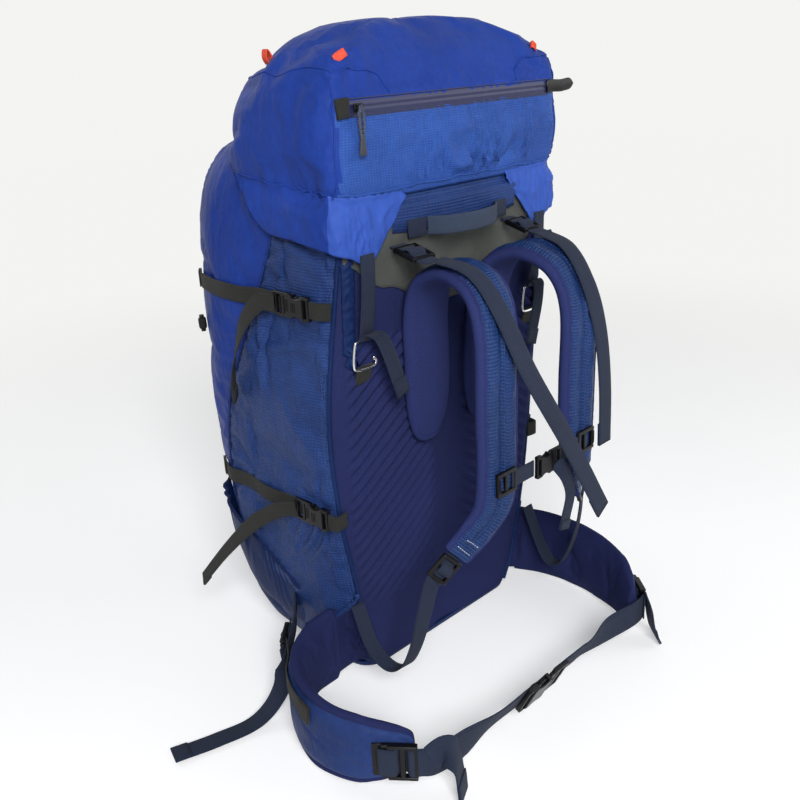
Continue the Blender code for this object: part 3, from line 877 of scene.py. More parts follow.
def lidRing(z):
    half, back, front = smoothAt(lid["keys"], z)
    most = (front - back) * 0.45
    rear, nose = min(lid["rear"], most), min(lid["nose"], most)
    line = [Vector(((half - rear) * i / 14, back, 0.0)) for i in range(14)]
    line += arcPoints(half - rear, back + rear, rear, 270, 360, 10)
    side = arcPoints(half - nose, front - nose, nose, 0, 90, 14)
    line += [line[-1].lerp(side[0], i / 8) for i in range(1, 8)] + side
    line += [side[-1].lerp(Vector((0.0, front, 0.0)), i / 10) for i in range(1, 11)]
    full = line + [Vector((-p.x, p.y, 0.0)) for p in reversed(line[1:-1])]
    return resample(full + [full[0]], lid["columns"] + 1)[:-1]


def lidZone(p):
    rearFace = p.y < -0.140 and abs(p.x) < 0.176
    top = lid["topZ"] if not rearFace else lid["zipZ"]
    if rearFace and abs(p.x) > lid["gussetX"]:
        corner = lid["gussetX"] + 0.020
        top = lid["gussetZ"]
        if abs(p.x) < corner and p.z > top - 0.020:
            top -= 0.020 - math.sqrt(max(0.0, 0.020 ** 2 - (corner - abs(p.x)) ** 2))
    if p.z > top:
        return 1
    return 2 if rearFace and p.z < lid["zipZ"] else 0


def lidShape():
    columns = lid["columns"]
    low, crownZ = lid["low"], lid["crown"]
    heights = [low + (crownZ - low) * (i / 58) for i in range(59)]
    rows = []
    for t in (0.25, 0.5, 0.75, 0.92):
        ring = lidRing(0.6055)
        rows.append([Vector((p.x * t, -0.075 + (p.y + 0.075) * t, 0.6075 + 0.004 * (1 - t))) for p in ring])
    for z in heights:
        rows.append([Vector((p.x, p.y, z)) for p in lidRing(z)])
    crown = lidRing(crownZ)
    for i in range(1, 15):
        t = 1 - i / 15
        rows.append([Vector((p.x * t, -0.095 + (p.y + 0.095) * t, crownZ + 0.004 * (1 - t * t)))
                     for p in crown])
    pins = {}
    shaped = []
    for r, row in enumerate(rows):
        line = []
        for c, p in enumerate(row):
            index = r * columns + c
            out = Vector((p.x, p.y + 0.08, 0.0)).normalized()
            side = 0.0
            rearFace = p.y < -0.155 and abs(p.x) < 0.180
            if rearFace and r > 4:
                seamUp = p.z - (lid["zipZ"] + lid["zipHalf"])
                seamDown = (lid["zipZ"] - lid["zipHalf"]) - p.z
                near = seamUp if seamUp > 0 else seamDown
                if near > 0:
                    phase = p.x / 0.0125 + 1.6 * grain(p.x * 30.0, 0.0, 1.0)
                    strength = ease(p.x, -0.12, 0.05) * 0.6 + 0.4
                    fade = math.exp(-near / 0.012)
                    side += 0.0014 * strength * fade * ease(near, 0.0, 0.004) * swing(phase)
                up = p.z - lid["hemZ"]
                wave = p.x / 0.017 + 2.2 * grain(p.x * 22.0, 4.0, 1.0)
                middle = ease(p.x, -0.13, -0.04) * (1 - ease(p.x, 0.10, 0.14))
                # held flat by the hem
                gather = lid["gather"] * middle * math.exp(-max(up, 0.0) / 0.026) * ease(up, 0.001, 0.016)
                side += gather * swing(wave + up / 0.05)
                side += 0.0030 * bell(p.z, 0.655, 0.022)
            elif r > 4:
                side += 0.0075 * folds(p, 2.0, (11.0, 11.0, 8.0)) * noise.noise(p * 6.0)
            line.append(p + out * side)
            if r <= 4 or (rearFace and abs(p.z - lid["zipZ"]) < lid["zipHalf"] + 0.002):
                pins[index] = 1.0
            elif rearFace and (abs(abs(p.x) - 0.176) < 0.003 or p.z < 0.652):
                pins[index] = 0.8
        shaped.append(line)
    bm = clothMesh(shaped, closed=True)
    bm.verts.ensure_lookup_table()
    bm.faces.new([bm.verts[c] for c in range(columns)])
    bm.faces.new([bm.verts[(len(shaped) - 1) * columns + c] for c in range(columns)])
    bm.normal_update()
    for k, face in enumerate(bm.faces):
        under = k < 4 * columns or k == len(bm.faces) - 2
        face.material_index = 3 if under else lidZone(face.calc_center_median())
    obj = makePiece("lid_cloth", bm, ["royal", "royal", "lidRib", "navyPlain"])
    return willSettle(obj, pins, 0.018, 1.6, 0.0060)


lidCloth = lidShape()
print("lid cut")
settleAll()

for piece, name in ((sideClothLeft, "left"), (sideClothRight, "right")):
    thicken(piece, 0.0014)
    hold(piece, "pack", "navy", "side_panel_" + name)
thicken(frontClothPiece, 0.0014)
thicken(frontRoofPiece, 0.0014)
hold(frontClothPiece, "pack", "royal", "front_panel")
hold(frontRoofPiece, "pack", "royal")
hold(backClothPiece, "pack", "lining", "back_panel")
hold(baseClothPiece, "pack", "navy", "base_panel")
hold(lidCloth, "lid", "royal", "lid")


# Trim tools

def sweepFrames(stops, lanes, steps):
    points = smoothLine(stops, steps)
    if not isinstance(lanes, list):
        lanes = [lanes] * len(stops)
    sides = smoothLine(lanes, steps)
    last = len(points) - 1
    frames = []
    for i, point in enumerate(points):
        along = (points[min(i + 1, last)] - points[max(i - 1, 0)]).normalized()
        lane = (sides[i] - along * sides[i].dot(along)).normalized()
        frames.append((point, along, lane, along.cross(lane)))
    return frames


def bandRings(frames, width, thick):
    u, v = width / 2, thick / 2
    e = min(thick * 0.35, u * 0.5)
    half = [(-u, -v * 0.4), (-u + e, -v)] + [(-u + width * k / 4, -v) for k in (1, 2, 3)]
    half += [(u - e, -v), (u, -v * 0.4)]
    shape = half + [(-a, -b) for a, b in half]
    return [[p + lane * a + normal * b for a, b in shape] for p, _, lane, normal in frames]


def addMesh(bm, part):
    spare = bpy.data.meshes.new("spare")
    part.to_mesh(spare)
    part.free()
    bm.from_mesh(spare)
    bpy.data.meshes.remove(spare)


def band(name, stops, lanes, width, finish, steps=8, thick=0.0017, foldEnd=0.0, foldStart=0.0, foldSide=1.0):
    frames = sweepFrames(stops, lanes, steps)
    bm = clothMesh(bandRings(frames, width, thick), closed=True, cap=True)
    for size, ends in ((foldEnd, frames[::-1]), (foldStart, frames)):
        if size <= 0.0:
            continue
        run = [ends[0]]
        length = 0.0
        for a, b in zip(ends, ends[1:]):
            length += (b[0] - a[0]).length
            run.append(b)
            if length >= size:
                break
        top = [(p + n * thick * 1.08 * foldSide, a, l, n) for p, a, l, n in run]
        addMesh(bm, clothMesh(bandRings(top, width * 0.985, thick), closed=True, cap=True))
    return makePiece(name, bm, finish)


def tubeMesh(points, radius, sides=6, flat=1.0, up=upward):
    last = len(points) - 1
    rings = []
    lane = None
    for i, point in enumerate(points):
        along = (points[min(i + 1, last)] - points[max(i - 1, 0)]).normalized()
        if lane is None:
            lane = up.cross(along)
            if lane.length < 0.05:
                lane = across.cross(along)
        lane = (lane - along * lane.dot(along)).normalized()
        normal = along.cross(lane)
        turns = [2 * math.pi * k / sides for k in range(sides)]
        rings.append([point + lane * math.cos(a) * radius + normal * math.sin(a) * radius * flat
                      for a in turns])
    return clothMesh(rings, closed=True, cap=True)


def roundPiece(name, points, radius, finish, body, slot, sides=8):
    return hold(makePiece(name, tubeMesh([p.copy() for p in points], radius, sides), finish), body, slot)


def sewn(name, grid, finish, outward, thick, slot, *replaced, offset=-1.0):
    obj = thicken(makePiece(name, clothMesh(grid), finish, outward), thick, offset)
    return hold(obj, "pack", slot, *replaced)


def joinMeshes(parts):
    bm = bmesh.new()
    bm.loops.layers.float_vector.new("cloth")
    for part in parts:
        addMesh(bm, part)
    return bm


def stitchMesh(points, normals, size=0.0028, space=0.0042, radius=0.00042):
    lengths = lengthsAlong(points)
    at = 0.0
    k = 0
    bm = bmesh.new()
    bm.loops.layers.float_vector.new("cloth")
    while at + size < lengths[-1]:
        ends = []
        for goal in (at, at + size):
            while k < len(points) - 2 and lengths[k + 1] < goal:
                k += 1
            span = max(lengths[k + 1] - lengths[k], 1e-9)
            t = (goal - lengths[k]) / span
            ends.append((points[k].lerp(points[k + 1], t), normals[k].lerp(normals[k + 1], t).normalized()))
        (a, na), (b, _) = ends
        along = (b - a).normalized()
        lane = along.cross(na).normalized() * radius
        up = na * radius
        ring = []
        for p, grow in ((a, 0.3), (a.lerp(b, 0.25), 1.0), (a.lerp(b, 0.75), 1.0), (b, 0.3)):
            ring.append([bm.verts.new(p + lane * grow), bm.verts.new(p + up * 1.4 * grow),
                         bm.verts.new(p - lane * grow), bm.verts.new(p - up * grow)])
        for low, high in zip(ring, ring[1:]):
            for i in range(4):
                j = (i + 1) % 4
                bm.faces.new((low[i], low[j], high[j], high[i]))
        bm.faces.new(ring[0])
        bm.faces.new(ring[-1])
        at += space
    return bm


def stitches(name, path, surface, finish, body, slot, lift=0.0003, **how):
    spots = [onSurface(surface, p, lift) for p in resample(path, max(8, len(path)))]
    obj = makePiece(name, stitchMesh([s[0] for s in spots], [s[1] for s in spots], **how), finish)
    return hold(obj, body, slot)


def piping(name, path, surface, radius, finish, body, slot, lift=0.0, count=120):
    points = [onSurface(surface, p, lift)[0] for p in resample(path, count)]
    for _ in range(6):
        points[1:-1] = [(a + b * 2 + c) * 0.25 for a, b, c in zip(points, points[1:], points[2:])]
    points = [onSurface(surface, p, lift)[0] for p in points]
    return roundPiece(name, points, radius, finish, body, slot)


# Side pockets

pocket = {
    "low": 0.018,
    "frontTop": 0.208,
    "rearTop": 0.104,
    "rearY": -0.050,
    "off": 0.0068,
    "tuck": 0.0012,     # edges against the side panel
    "ripple": 0.0017,
    "hem": 0.0026,
    "seam": 0.0016,
}


def pocketCloth(side, name):
    rows, cols = 52, 72
    grid = []
    for r in range(rows):
        row = []
        for c in range(cols):
            t = c / (cols - 1)
            top = pocket["frontTop"] + (pocket["rearTop"] - pocket["frontTop"]) * t
            top += 0.006 * math.sin(math.pi * t)
            s = r / (rows - 1)
            z = pocket["low"] + (top - pocket["low"]) * s
            half, _, front = smoothAt(sack["keys"], z)
            nose = sack["nose"]
            line = arcPoints(-half + nose, front - nose, nose, 135, 180, 10)
            line += [line[-1].lerp(Vector((-half, pocket["rearY"], 0.0)), i / 8) for i in range(1, 9)]
            p = resample(line, cols)[c]
            edge = ease(min(t, 1 - t), 0.0, 0.06)
            depth = (1 - s) * (top - pocket["low"])
            wave = p.y / 0.021 + 1.6 * grain(p.y * 28.0, z * 9.0, side)
            ripple = pocket["ripple"] * math.exp(-depth / 0.035) * swing(wave)
            fold = 0.0022 * bell(z - 0.052 - 0.35 * (p.y - 0.01), 0.0, 0.006)
            puff = 0.003 * math.sin(math.pi * min(s, 1.0)) + 0.001 * grain(p.y * 20, z * 20, side * 3)
            low = ease(s, 0.0, 0.10)
            out = pocket["tuck"] + (pocket["off"] - pocket["tuck"]) * edge * low
            out += (ripple + puff - fold) * edge * low
            normal = -across
            if p.y >= front - nose:
                normal = Vector((p.x + half - nose, p.y - front + nose, 0.0)).normalized()
            p = p + normal * out
            row.append(Vector((-side * p.x, p.y, z)))
        grid.append(row)
    sewn("pocket_cloth_" + name, grid, "navyPlain", outFromAxis, 0.0014, "navy", "side_pocket_" + name)
    roundPiece("pocket_hem_" + name, grid[-1], pocket["hem"], "darkThread", "pack", "navy")
    rearEdge = [row[-1] for row in grid]
    roundPiece("pocket_rear_seam_" + name, rearEdge, pocket["seam"], "navyPlain", "pack", "navy")


for side, name in hands:
    pocketCloth(side, name)
print("pockets sewn")


# Collar inside the top opening

collar = {
    "low": 0.552,
    "tall": 0.048,
    "inset": (0.010, 0.020, 0.012),     # sides, rear, front
    "nose": 0.075,
    "rear": 0.025,
    "gathers": 46,
    "cord": 0.0020,
}


def collarCloth():
    rows, cols = 18, 200
    nose, rear = collar["nose"], collar["rear"]
    grid = []
    for r in range(rows):
        t = r / (rows - 1)
        z = collar["low"] + collar["tall"] * t
        half, back, front = smoothAt(sack["keys"], z)
        inSides, inRear, inFront = collar["inset"]
        half, back, front = half - inSides, back + inRear, front - inFront
        line = arcPoints(half - nose, front - nose, nose, 0, 90, 10)
        line += arcPoints(-half + nose, front - nose, nose, 90, 180, 10)
        line += arcPoints(-half + rear, back + rear, rear, 180, 270, 6)
        line += arcPoints(half - rear, back + rear, rear, 270, 360, 6)
        ring = resample(line + [line[0]], cols + 1)[:-1]
        row = []
        for c, p in enumerate(ring):
            wave = swing(c / cols * collar["gathers"] + 1.5 * noise.noise(p * 14.0))
            pull = 0.0022 * wave * t + 0.004 * t * t
            row.append(Vector((p.x * (1 - pull * 5), p.y - p.y * pull * 5, z)))
        grid.append(row)
    obj = makePiece("collar_cloth", clothMesh(grid, closed=True), "navyPlain", outFromAxis)
    thicken(obj, 0.0012)
    hold(obj, "pack", "navy", "collar")
    roundPiece("collar_cord", grid[-1] + grid[-1][:1], collar["cord"], "slate", "pack", "slate")


collarCloth()


# Yoke of the lid, patch and gathers on the upper back

backSurface = surfaceOf(backClothPiece)
packSurface = surfaceOf(backClothPiece, sideClothLeft, sideClothRight, frontClothPiece)
lidSurface = surfaceOf(lidCloth)

yoke = {
    "skirt": (          # x, y, top, bottom
        (-0.1890, -0.018, 0.632, 0.626),
        (-0.1905, -0.030, 0.630, 0.609),
        (-0.1915, -0.060, 0.625, 0.574),
        (-0.1915, -0.112, 0.617, 0.567),
        (-0.1905, -0.148, 0.612, 0.561),
        (-0.1840, -0.1655, 0.611, 0.555),
        (-0.1680, -0.1712, 0.611, 0.550),
        (-0.1530, -0.1712, 0.611, 0.5420),
        (-0.1380, -0.1712, 0.610, 0.5415),
        (-0.1120, -0.1712, 0.609, 0.571),
        (-0.0860, -0.1712, 0.608, 0.601),
    ),
    "bandHalf": 0.104,
    "bandLow": 0.561,
    "bandTop": 0.6040,
    "bandEdge": 0.0016,
}


def skirtCloth(side, name):
    line = smoothLine([(x, y, 0.0) for x, y, _, _ in yoke["skirt"]], 10)
    tops = smoothLine([(top, bottom, 0.0) for _, _, top, bottom in yoke["skirt"]], 10)
    rows = 22
    grid = []
    count = len(line)
    for r in range(rows):
        t = r / (rows - 1)
        row = []
        for c, (p, span) in enumerate(zip(line, tops)):
            z = span.y + (span.x - span.y) * t
            rearPart = ease(-p.y, 0.13, 0.172)
            run = c / (count - 1)
            wave = 0.0030 * grain(run * 26.0 + z * 30.0, z * 18.0, side * 4.0)
            creased = folds(Vector((run * 0.4, 0.0, z)), 4.0 + side, (20.0, 0.0, 26.0))
            wave += 0.0040 * creased * ease(t, 0.0, 0.3)
            out = (-across).lerp(rearward, rearPart).normalized()
            flare = 0.0035 * (1 - t) * (1 - rearPart)
            q = p + out * (wave * 0.8 + flare)
            q = Vector((q.x * -side, q.y, z))
            row.append(q.lerp(onSurface(lidSurface, q, 0.0006)[0], ease(t, 0.55, 0.95)))
        grid.append(row)
    corner = sum(1 for p in line if p.y > -0.158) / count
    bm = clothMesh(grid, faceFinish=lambda c, r: 0 if c < corner else 1)
    obj = makePiece("lid_skirt_" + name, bm, ["royal", "skirt"], lambda p: Vector((p.x, p.y * 1.2, 0.0)))
    thicken(obj, 0.0012)
    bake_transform(obj)
    return grid


skirtGrids = {name: skirtCloth(side, name) for side, name in hands}


def bandCloth():
    def point(t, s):
        x = yoke["bandHalf"] * (2 * s - 1)
        low = yoke["bandLow"] + 0.006 * (x / yoke["bandHalf"]) ** 2
        z = low + (yoke["bandTop"] - low) * t
        roll = 0.0035 * math.sin(math.pi * t)
        wrinkle = 0.0016 * grain(x * 38.0, z * 30.0, 2.0)
        y = -0.1672 - 0.0012 * t - roll - wrinkle
        tuck = ease(z, yoke["bandTop"] - 0.011, yoke["bandTop"] - 0.006)    # clear of the opened lid
        return Vector((x, max(y, -0.1708) * (1 - tuck) - 0.1652 * tuck, z))

    grid = sheetRows(20, 90, point)
    sewn("yoke_band", grid, "navy", facing(rearward), 0.0012, "navy", "lid_hinge_panel")
    roundPiece("yoke_band_edge", grid[0], yoke["bandEdge"], "darkThread", "pack", "navy")


bandCloth()


patch = {"half": 0.178, "low": 0.472, "top": 0.588, "lift": 0.0016, "edge": 0.0012}


def patchCloth():
    def point(t, s):
        x = patch["half"] * (2 * s - 1)
        low = patch["low"] + 0.035 * ease(abs(x), 0.03, 0.11) + 0.036 * ease(abs(x), 0.11, 0.176)
        z = low + (patch["top"] - low) * t
        spot, normal = onSurface(backSurface, Vector((x, -0.175, z)), patch["lift"])
        return spot + normal * 0.0012 * grain(x * 22.0, 1.0, z * 22.0)

    grid = sheetRows(40, 110, point)
    sewn("back_patch", grid, "patch", facing(rearward), 0.0012, "slate", offset=1.0)
    return grid


patchGrid = patchCloth()


gathers = {"low": 0.428, "tall": 0.122, "inner": 0.1580, "outer": 0.182, "pitch": 0.0120, "deep": 0.0011}


def gatherStrip(side, name):
    def point(t, s):
        z = gathers["low"] + gathers["tall"] * t
        reach = gathers["inner"] + 0.004 * (1 - ease(t, 0.0, 0.15))
        x = -(reach + (gathers["outer"] - reach) * s)
        spot, normal = onSurface(packSurface, Vector((x, -0.175, z)), 0.0012)
        turns = z / gathers["pitch"] + 0.8 * grain(z * 40.0, s * 1.5, side)
        wave = swing(turns)
        p = spot + normal * gathers["deep"] * (1 + wave) * math.sin(math.pi * s) ** 0.6
        return Vector((-p.x * side, p.y, p.z))

    def outward(p):
        return Vector((p.x * 0.3, -1.0, 0.0))

    grid = sheetRows(60, 12, point)
    sewn("gather_strip_" + name, grid, "navyPlain", outward, 0.0010, "navy", offset=1.0)


for side, name in hands:
    gatherStrip(side, name)
print("yoke and patch sewn")


# Shoulder straps

shoulder = {
    "stops": (
        (0.050, -0.158, 0.305), (0.052, -0.163, 0.400), (0.056, -0.167, 0.4665), (0.060, -0.185, 0.5095),
        (0.064, -0.226, 0.525), (0.070, -0.267, 0.5095), (0.075, -0.285, 0.4665), (0.075, -0.285, 0.380),
        (0.075, -0.285, 0.320), (0.080, -0.284, 0.272), (0.098, -0.274, 0.240), (0.121, -0.262, 0.214),
    ),
    "widths": (0.074, 0.074, 0.072, 0.070, 0.068, 0.068, 0.068, 0.068, 0.066, 0.063, 0.053, 0.041),
    "thick": 0.0175,
    "twist": (0.10, 0.28, 0.45),
    "steps": 14,
    "panel": 0.74,
    "tube": 0.11,
}


def twist(side, amount):
    return Vector((1.0, side * amount, 0.0))


def strapShape(side, name):
    stops = [(side * x, y, z) for x, y, z in shoulder["stops"]]
    lanes = [twist(side, 0.0)] * (len(stops) - 3) + [twist(side, k) for k in shoulder["twist"]]
    frames = sweepFrames(stops, lanes, shoulder["steps"])
    last = len(frames) - 1
    outer = [-1 + 2 * i / 40 for i in range(41)]
    inner = [1 - 2 * i / 16 for i in range(1, 16)]
    rings = []
    run = 0.0
    for i, (p, _, lane, normal) in enumerate(frames):
        if i:
            run += (p - frames[i - 1][0]).length
        where = i / last * (len(stops) - 1)
        width = valueAt(shoulder["widths"], where)
        rounding = min(1.0, math.sqrt(max(0.0, 1 - (1 - min(i / 12, 1.0)) ** 2)) * 0.75 + 0.25)
        width *= rounding
        thick = shoulder["thick"] * (0.55 + 0.45 * ease(i, 0, 8)) * (1 - 0.45 * ease(where, 9.0, 11.0))
        panel = ease(where, 2.6, 3.4) * (1 - ease(where, 10.2, 10.8))
        tube = ease(where, 4.9, 5.3) * (1 - ease(where, 9.0, 9.4))
        ring = []
        for s in outer:
            v = thick / 2 * math.sqrt(max(0.0, 1 - abs(s) ** 5))
            edge = abs(abs(s) - shoulder["panel"])
            pucker = 1 + 0.8 * grain(run * 90.0, s * 3.0, side)
            detail = -0.0022 * bell(edge, 0.0, 0.045)
            groove = abs(abs(s) - shoulder["tube"])
            if abs(s) < shoulder["panel"]:
                lobe = math.sin(math.pi * min(groove / (shoulder["panel"] - shoulder["tube"]), 1.0))
                detail += 0.0028 * lobe * (1 + 0.45 * grain(run * 60.0, s * 6.0, 5.0 + side))
            puckers = math.sin(2 * math.pi * run / 0.0110 + 5 * grain(run * 40.0, s, side))
            detail += 0.0012 * puckers * math.exp(-edge / 0.10)
            detail += tube * (-0.0016 * bell(groove, 0.0, 0.035))
            if abs(s) < shoulder["tube"]:
                detail += tube * 0.0026 * math.cos(math.pi / 2 * s / shoulder["tube"])
            ring.append(p + lane * (s * width / 2) + normal * (v + detail * panel * pucker ** 0.5))
        for s in inner:
            v = thick / 2 * math.sqrt(max(0.0, 1 - abs(s) ** 5))
            hem = -0.0007 * bell(abs(s), 0.80, 0.04)
            ring.append(p + lane * (s * width / 2) - normal * (v + hem))
        rings.append(ring)
    total = len(rings[0])

    def faceFinish(c, r):
        k = c * total
        s = -1 + 2 * k / 40
        where = r * (len(stops) - 1)
        return 1 if k < 40 and abs(s) < shoulder["panel"] and where > 2.9 else 0

    bm = clothMesh(rings, closed=True, cap=True, faceFinish=faceFinish)
    obj = makePiece("shoulder_pad_" + name, bm, ["padKnit", "strapRib"])
    soften(obj)
    hold(obj, "pack", "navy", "shoulder_strap_" + name)
    return obj, frames


shoulderPads = {name: strapShape(side, name) for side, name in hands}
print("shoulder straps sewn")


# Hip belt wings

wing = {
    "left": ((-0.178, -0.104), (-0.222, -0.112), (-0.270, -0.146), (-0.296, -0.205), (-0.286, -0.265),
             (-0.248, -0.312)),
    "right": ((0.178, -0.110), (0.192, -0.150), (0.196, -0.200), (0.188, -0.250), (0.168, -0.300),
              (0.134, -0.340)),
    "heights": (0.106, 0.106, 0.106, 0.102, 0.091, 0.064),
    "thick": 0.0205,
    "z": 0.0545,
    "steps": 16,
}


def wingShape(side, name):
    stops = [(x, y, wing["z"]) for x, y in wing[name]]
    frames = sweepFrames(stops, Vector((0.0, 0.0, -side)), wing["steps"])
    last = len(frames) - 1
    outer = [-1 + 2 * i / 36 for i in range(37)]
    inner = [1 - 2 * i / 30 for i in range(1, 30)]
    rings = []
    run = 0.0
    for i, (p, _, lane, normal) in enumerate(frames):
        if i:
            run += (p - frames[i - 1][0]).length
        height = valueAt(wing["heights"], i / last * (len(stops) - 1))
        ending = (last - i) / 14
        if ending < 1:
            height *= 0.62 + 0.38 * math.sqrt(max(0.0, 1 - (1 - ending) ** 2))
        thick = wing["thick"] * (0.6 + 0.4 * ease(last - i, 0, 10))
        ring = []
        for s in outer:
            up = s * -side
            v = thick / 2 * max(0.0, 1 - abs(s) ** 4) ** 0.5
            seam = up - (0.62 - 1.05 * ease(i / last, 0.25, 0.95))
            detail = -0.0016 * bell(seam, 0.0, 0.035) * ease(i / last, 0.12, 0.3)
            detail -= 0.0016 * bell(abs(s), 0.80, 0.045)
            detail += 0.0010 * grain(run * 30.0, s * 3.0, side * 6.0)
            ring.append(p + lane * (s * height / 2) + normal * (v + detail))
        for s in inner:
            v = thick / 2 * max(0.0, 1 - abs(s) ** 4) ** 0.5
            detail = -0.0012 * bell(abs(s), 0.84, 0.04)
            detail += 0.0012 * grain(run * 24.0, s * 2.0, side * 9.0)
            ring.append(p + lane * (s * height / 2) - normal * (v + detail))
        rings.append(ring)
    total = len(rings[0])

    def faceFinish(c, _):
        k = c * total
        s = -1 + 2 * k / 36
        return 1 if k < 36 and abs(s) < 0.80 else 0

    bm = clothMesh(rings, closed=True, cap=True, faceFinish=faceFinish)
    obj = makePiece("hip_pad_" + name, bm, ["lining", "wing"])
    pins = {}
    for i in range(len(rings)):
        for c in range(total):
            if i < 4 or abs(abs(-1 + 2 * c / 36) - 0.8) < 0.06 and c < 37:
                pins[i * total + c] = 0.9
    willSettle(obj, pins, 0.010, 4.0, 0.0030)
    return obj


wings = {name: wingShape(side, name) for side, name in hands}
settleAll()
for name, piece in wings.items():
    soften(piece)
    hold(piece, "pack", "navy", "hip_wing_" + name)
wingRoots = {
    "left": ((-0.146, -0.101), (-0.166, -0.102), (-0.190, -0.106)),
    "right": ((0.146, -0.101), (0.164, -0.103), (0.1830, -0.122)),
}
for name, stops in wingRoots.items():
    run = [(x, y, wing["z"]) for x, y in stops]
    root = band("hip_root_" + name, run, upward, 0.092, "lining", thick=0.013)
    hold(root, "pack", "navy")
print("hip belt sewn")


# Webbing

def mirrorStops(stops, side):
    return [Vector((side * x, y, z)) for x, y, z in stops]


def webStrap(name, stops, lanes, width, *replaced, finish="slate", body="pack", **how):
    return hold(band(name, stops, lanes, width, finish, **how), body, finish, *replaced)


def strapEnd(side):
    before, end = mirrorStops(shoulder["stops"][-2:], side)
    heading = (end - before).normalized()
    return end + heading * 0.020, heading


def strapsOfSide(side, name):
    start, heading = strapEnd(side)
    lower = [start + heading * 0.012, start + heading * 0.022]
    lower += mirrorStops(((0.154, -0.240, 0.140), (0.156, -0.228, 0.096), (0.158, -0.211, 0.062),
                          (0.162, -0.188, 0.052), (0.168, -0.164, 0.074), (0.168, -0.142, 0.122)), side)
    turned = [twist(side, k) for k in (0.45, 0.45, 0.35, 0.20, 0.10, 0.0, 0.0, 0.0)]
    webStrap("lower_web_" + name, lower, turned, 0.020, "lower_webbing_" + name)

    x = 0.148
    drop = mirrorStops(((x, -0.1735, 0.552), (x, -0.1725, 0.520), (x, -0.1690, 0.490),
                        (x - 0.001, -0.1640, 0.466), (x - 0.001, -0.1618, 0.4555)), side)
    tail = mirrorStops(((x - 0.001, -0.1618, 0.4555), (x - 0.002, -0.1690, 0.4640),
                        (x - 0.008, -0.1790, 0.4600), (x - 0.016, -0.1840, 0.4380),
                        (x - 0.032, -0.1850, 0.3900)), side)
    webStrap("lid_web_" + name, drop, across, 0.020, "lid_strap_" + name)
    webStrap("lid_web_tail_" + name, tail, across, 0.0195, foldEnd=0.016)
    tab = mirrorStops(((x, -0.1600, 0.4265), (x, -0.1570, 0.4180), (x, -0.1535, 0.4050)), side)
    webStrap("hook_tab_" + name, tab, across, 0.024, finish="olive", thick=0.0030)

    begin = Vector((side * 0.095, -0.190, 0.546))
    along = Vector((0.0, -0.90, -0.25)).normalized()
    over = [begin - along * 0.006, begin + along * 0.023]
    over += mirrorStops(((0.088, -0.226, 0.5400), (0.082, -0.2645, 0.5295), (0.078, -0.2950, 0.4930)), side)
    if side < 0:
        over += [Vector(p) for p in ((-0.046, -0.308, 0.420), (0.014, -0.320, 0.320), (0.078, -0.326, 0.214))]
    else:
        over += [Vector(p) for p in ((0.101, -0.299, 0.430), (0.110, -0.302, 0.360), (0.112, -0.303, 0.285))]
    webStrap("lifter_web_" + name, over, across, 0.025, "load_lifter_" + name, foldEnd=0.020, foldSide=-1.0)
    anchor = [begin - along * 0.030 + Vector((0.0, 0.010, -0.004)), begin - along * 0.016,
              begin - along * 0.009]
    webStrap("lifter_anchor_" + name, anchor, across, 0.024, thick=0.0026)


for side, name in hands:
    strapsOfSide(side, name)

haul = {"y": -0.1765, "z": 0.568, "web": 0.0205, "thick": 0.0024, "reach": 0.024,
        "half": ((0.058, 0.0), (0.050, 0.008), (0.032, 0.019))}    # x and how far it stands out
haulStops = [(-x, haul["y"] - out, haul["z"]) for x, out in haul["half"]]
haulStops += [(0.0, haul["y"] - haul["reach"], haul["z"])]
haulStops += [(x, haul["y"] - out, haul["z"]) for x, out in reversed(haul["half"])]
loopPiece = band("haul_web", haulStops, upward, haul["web"], "loopWeb", thick=haul["thick"])
hold(loopPiece, "haul_loop", "slate", "haul_loop")
for side, name in hands:
    tack = [(side * 0.0592, -0.1750, haul["z"]), (side * 0.066, -0.1738, haul["z"]),
            (side * 0.084, -0.1712, haul["z"] - 0.001)]
    webStrap("haul_tack_" + name, tack, upward, 0.020, thick=0.0022)

hip = {"y": -0.342, "z": 0.044, "mouth": -0.060, "web": 0.036, "tilt": Vector((0.0, -0.450, 0.893)),
       "lift": 0.0038}
nearY = hip["y"] + hip["lift"] * hip["tilt"].z
nearZ = hip["z"] - hip["lift"] * hip["tilt"].y
leftRun = [(-0.2620, -0.3225, 0.052), (-0.2560, -0.3285, 0.052), (-0.2400, -0.3370, 0.050),
           (-0.2000, nearY, 0.047), (-0.1500, nearY, nearZ), (hip["mouth"] - 0.0335, nearY, nearZ)]
rightRun = [(hip["mouth"] + 0.014, nearY, nearZ), (-0.0140, nearY, nearZ), (0.0120, nearY, nearZ),
            (0.0340, nearY, nearZ), (0.0800, nearY, 0.047), (0.1250, -0.3480, 0.050),
            (0.1480, -0.3475, 0.052), (0.1560, -0.3410, 0.052)]
leftLanes = [upward] * 4 + [hip["tilt"]] * 2
rightLanes = [hip["tilt"]] * 4 + [upward] * 4
webStrap("hip_web_left", leftRun, leftLanes, hip["web"], "hip_webbing_left")
webStrap("hip_web_right", rightRun, rightLanes, hip["web"], "hip_webbing_right")
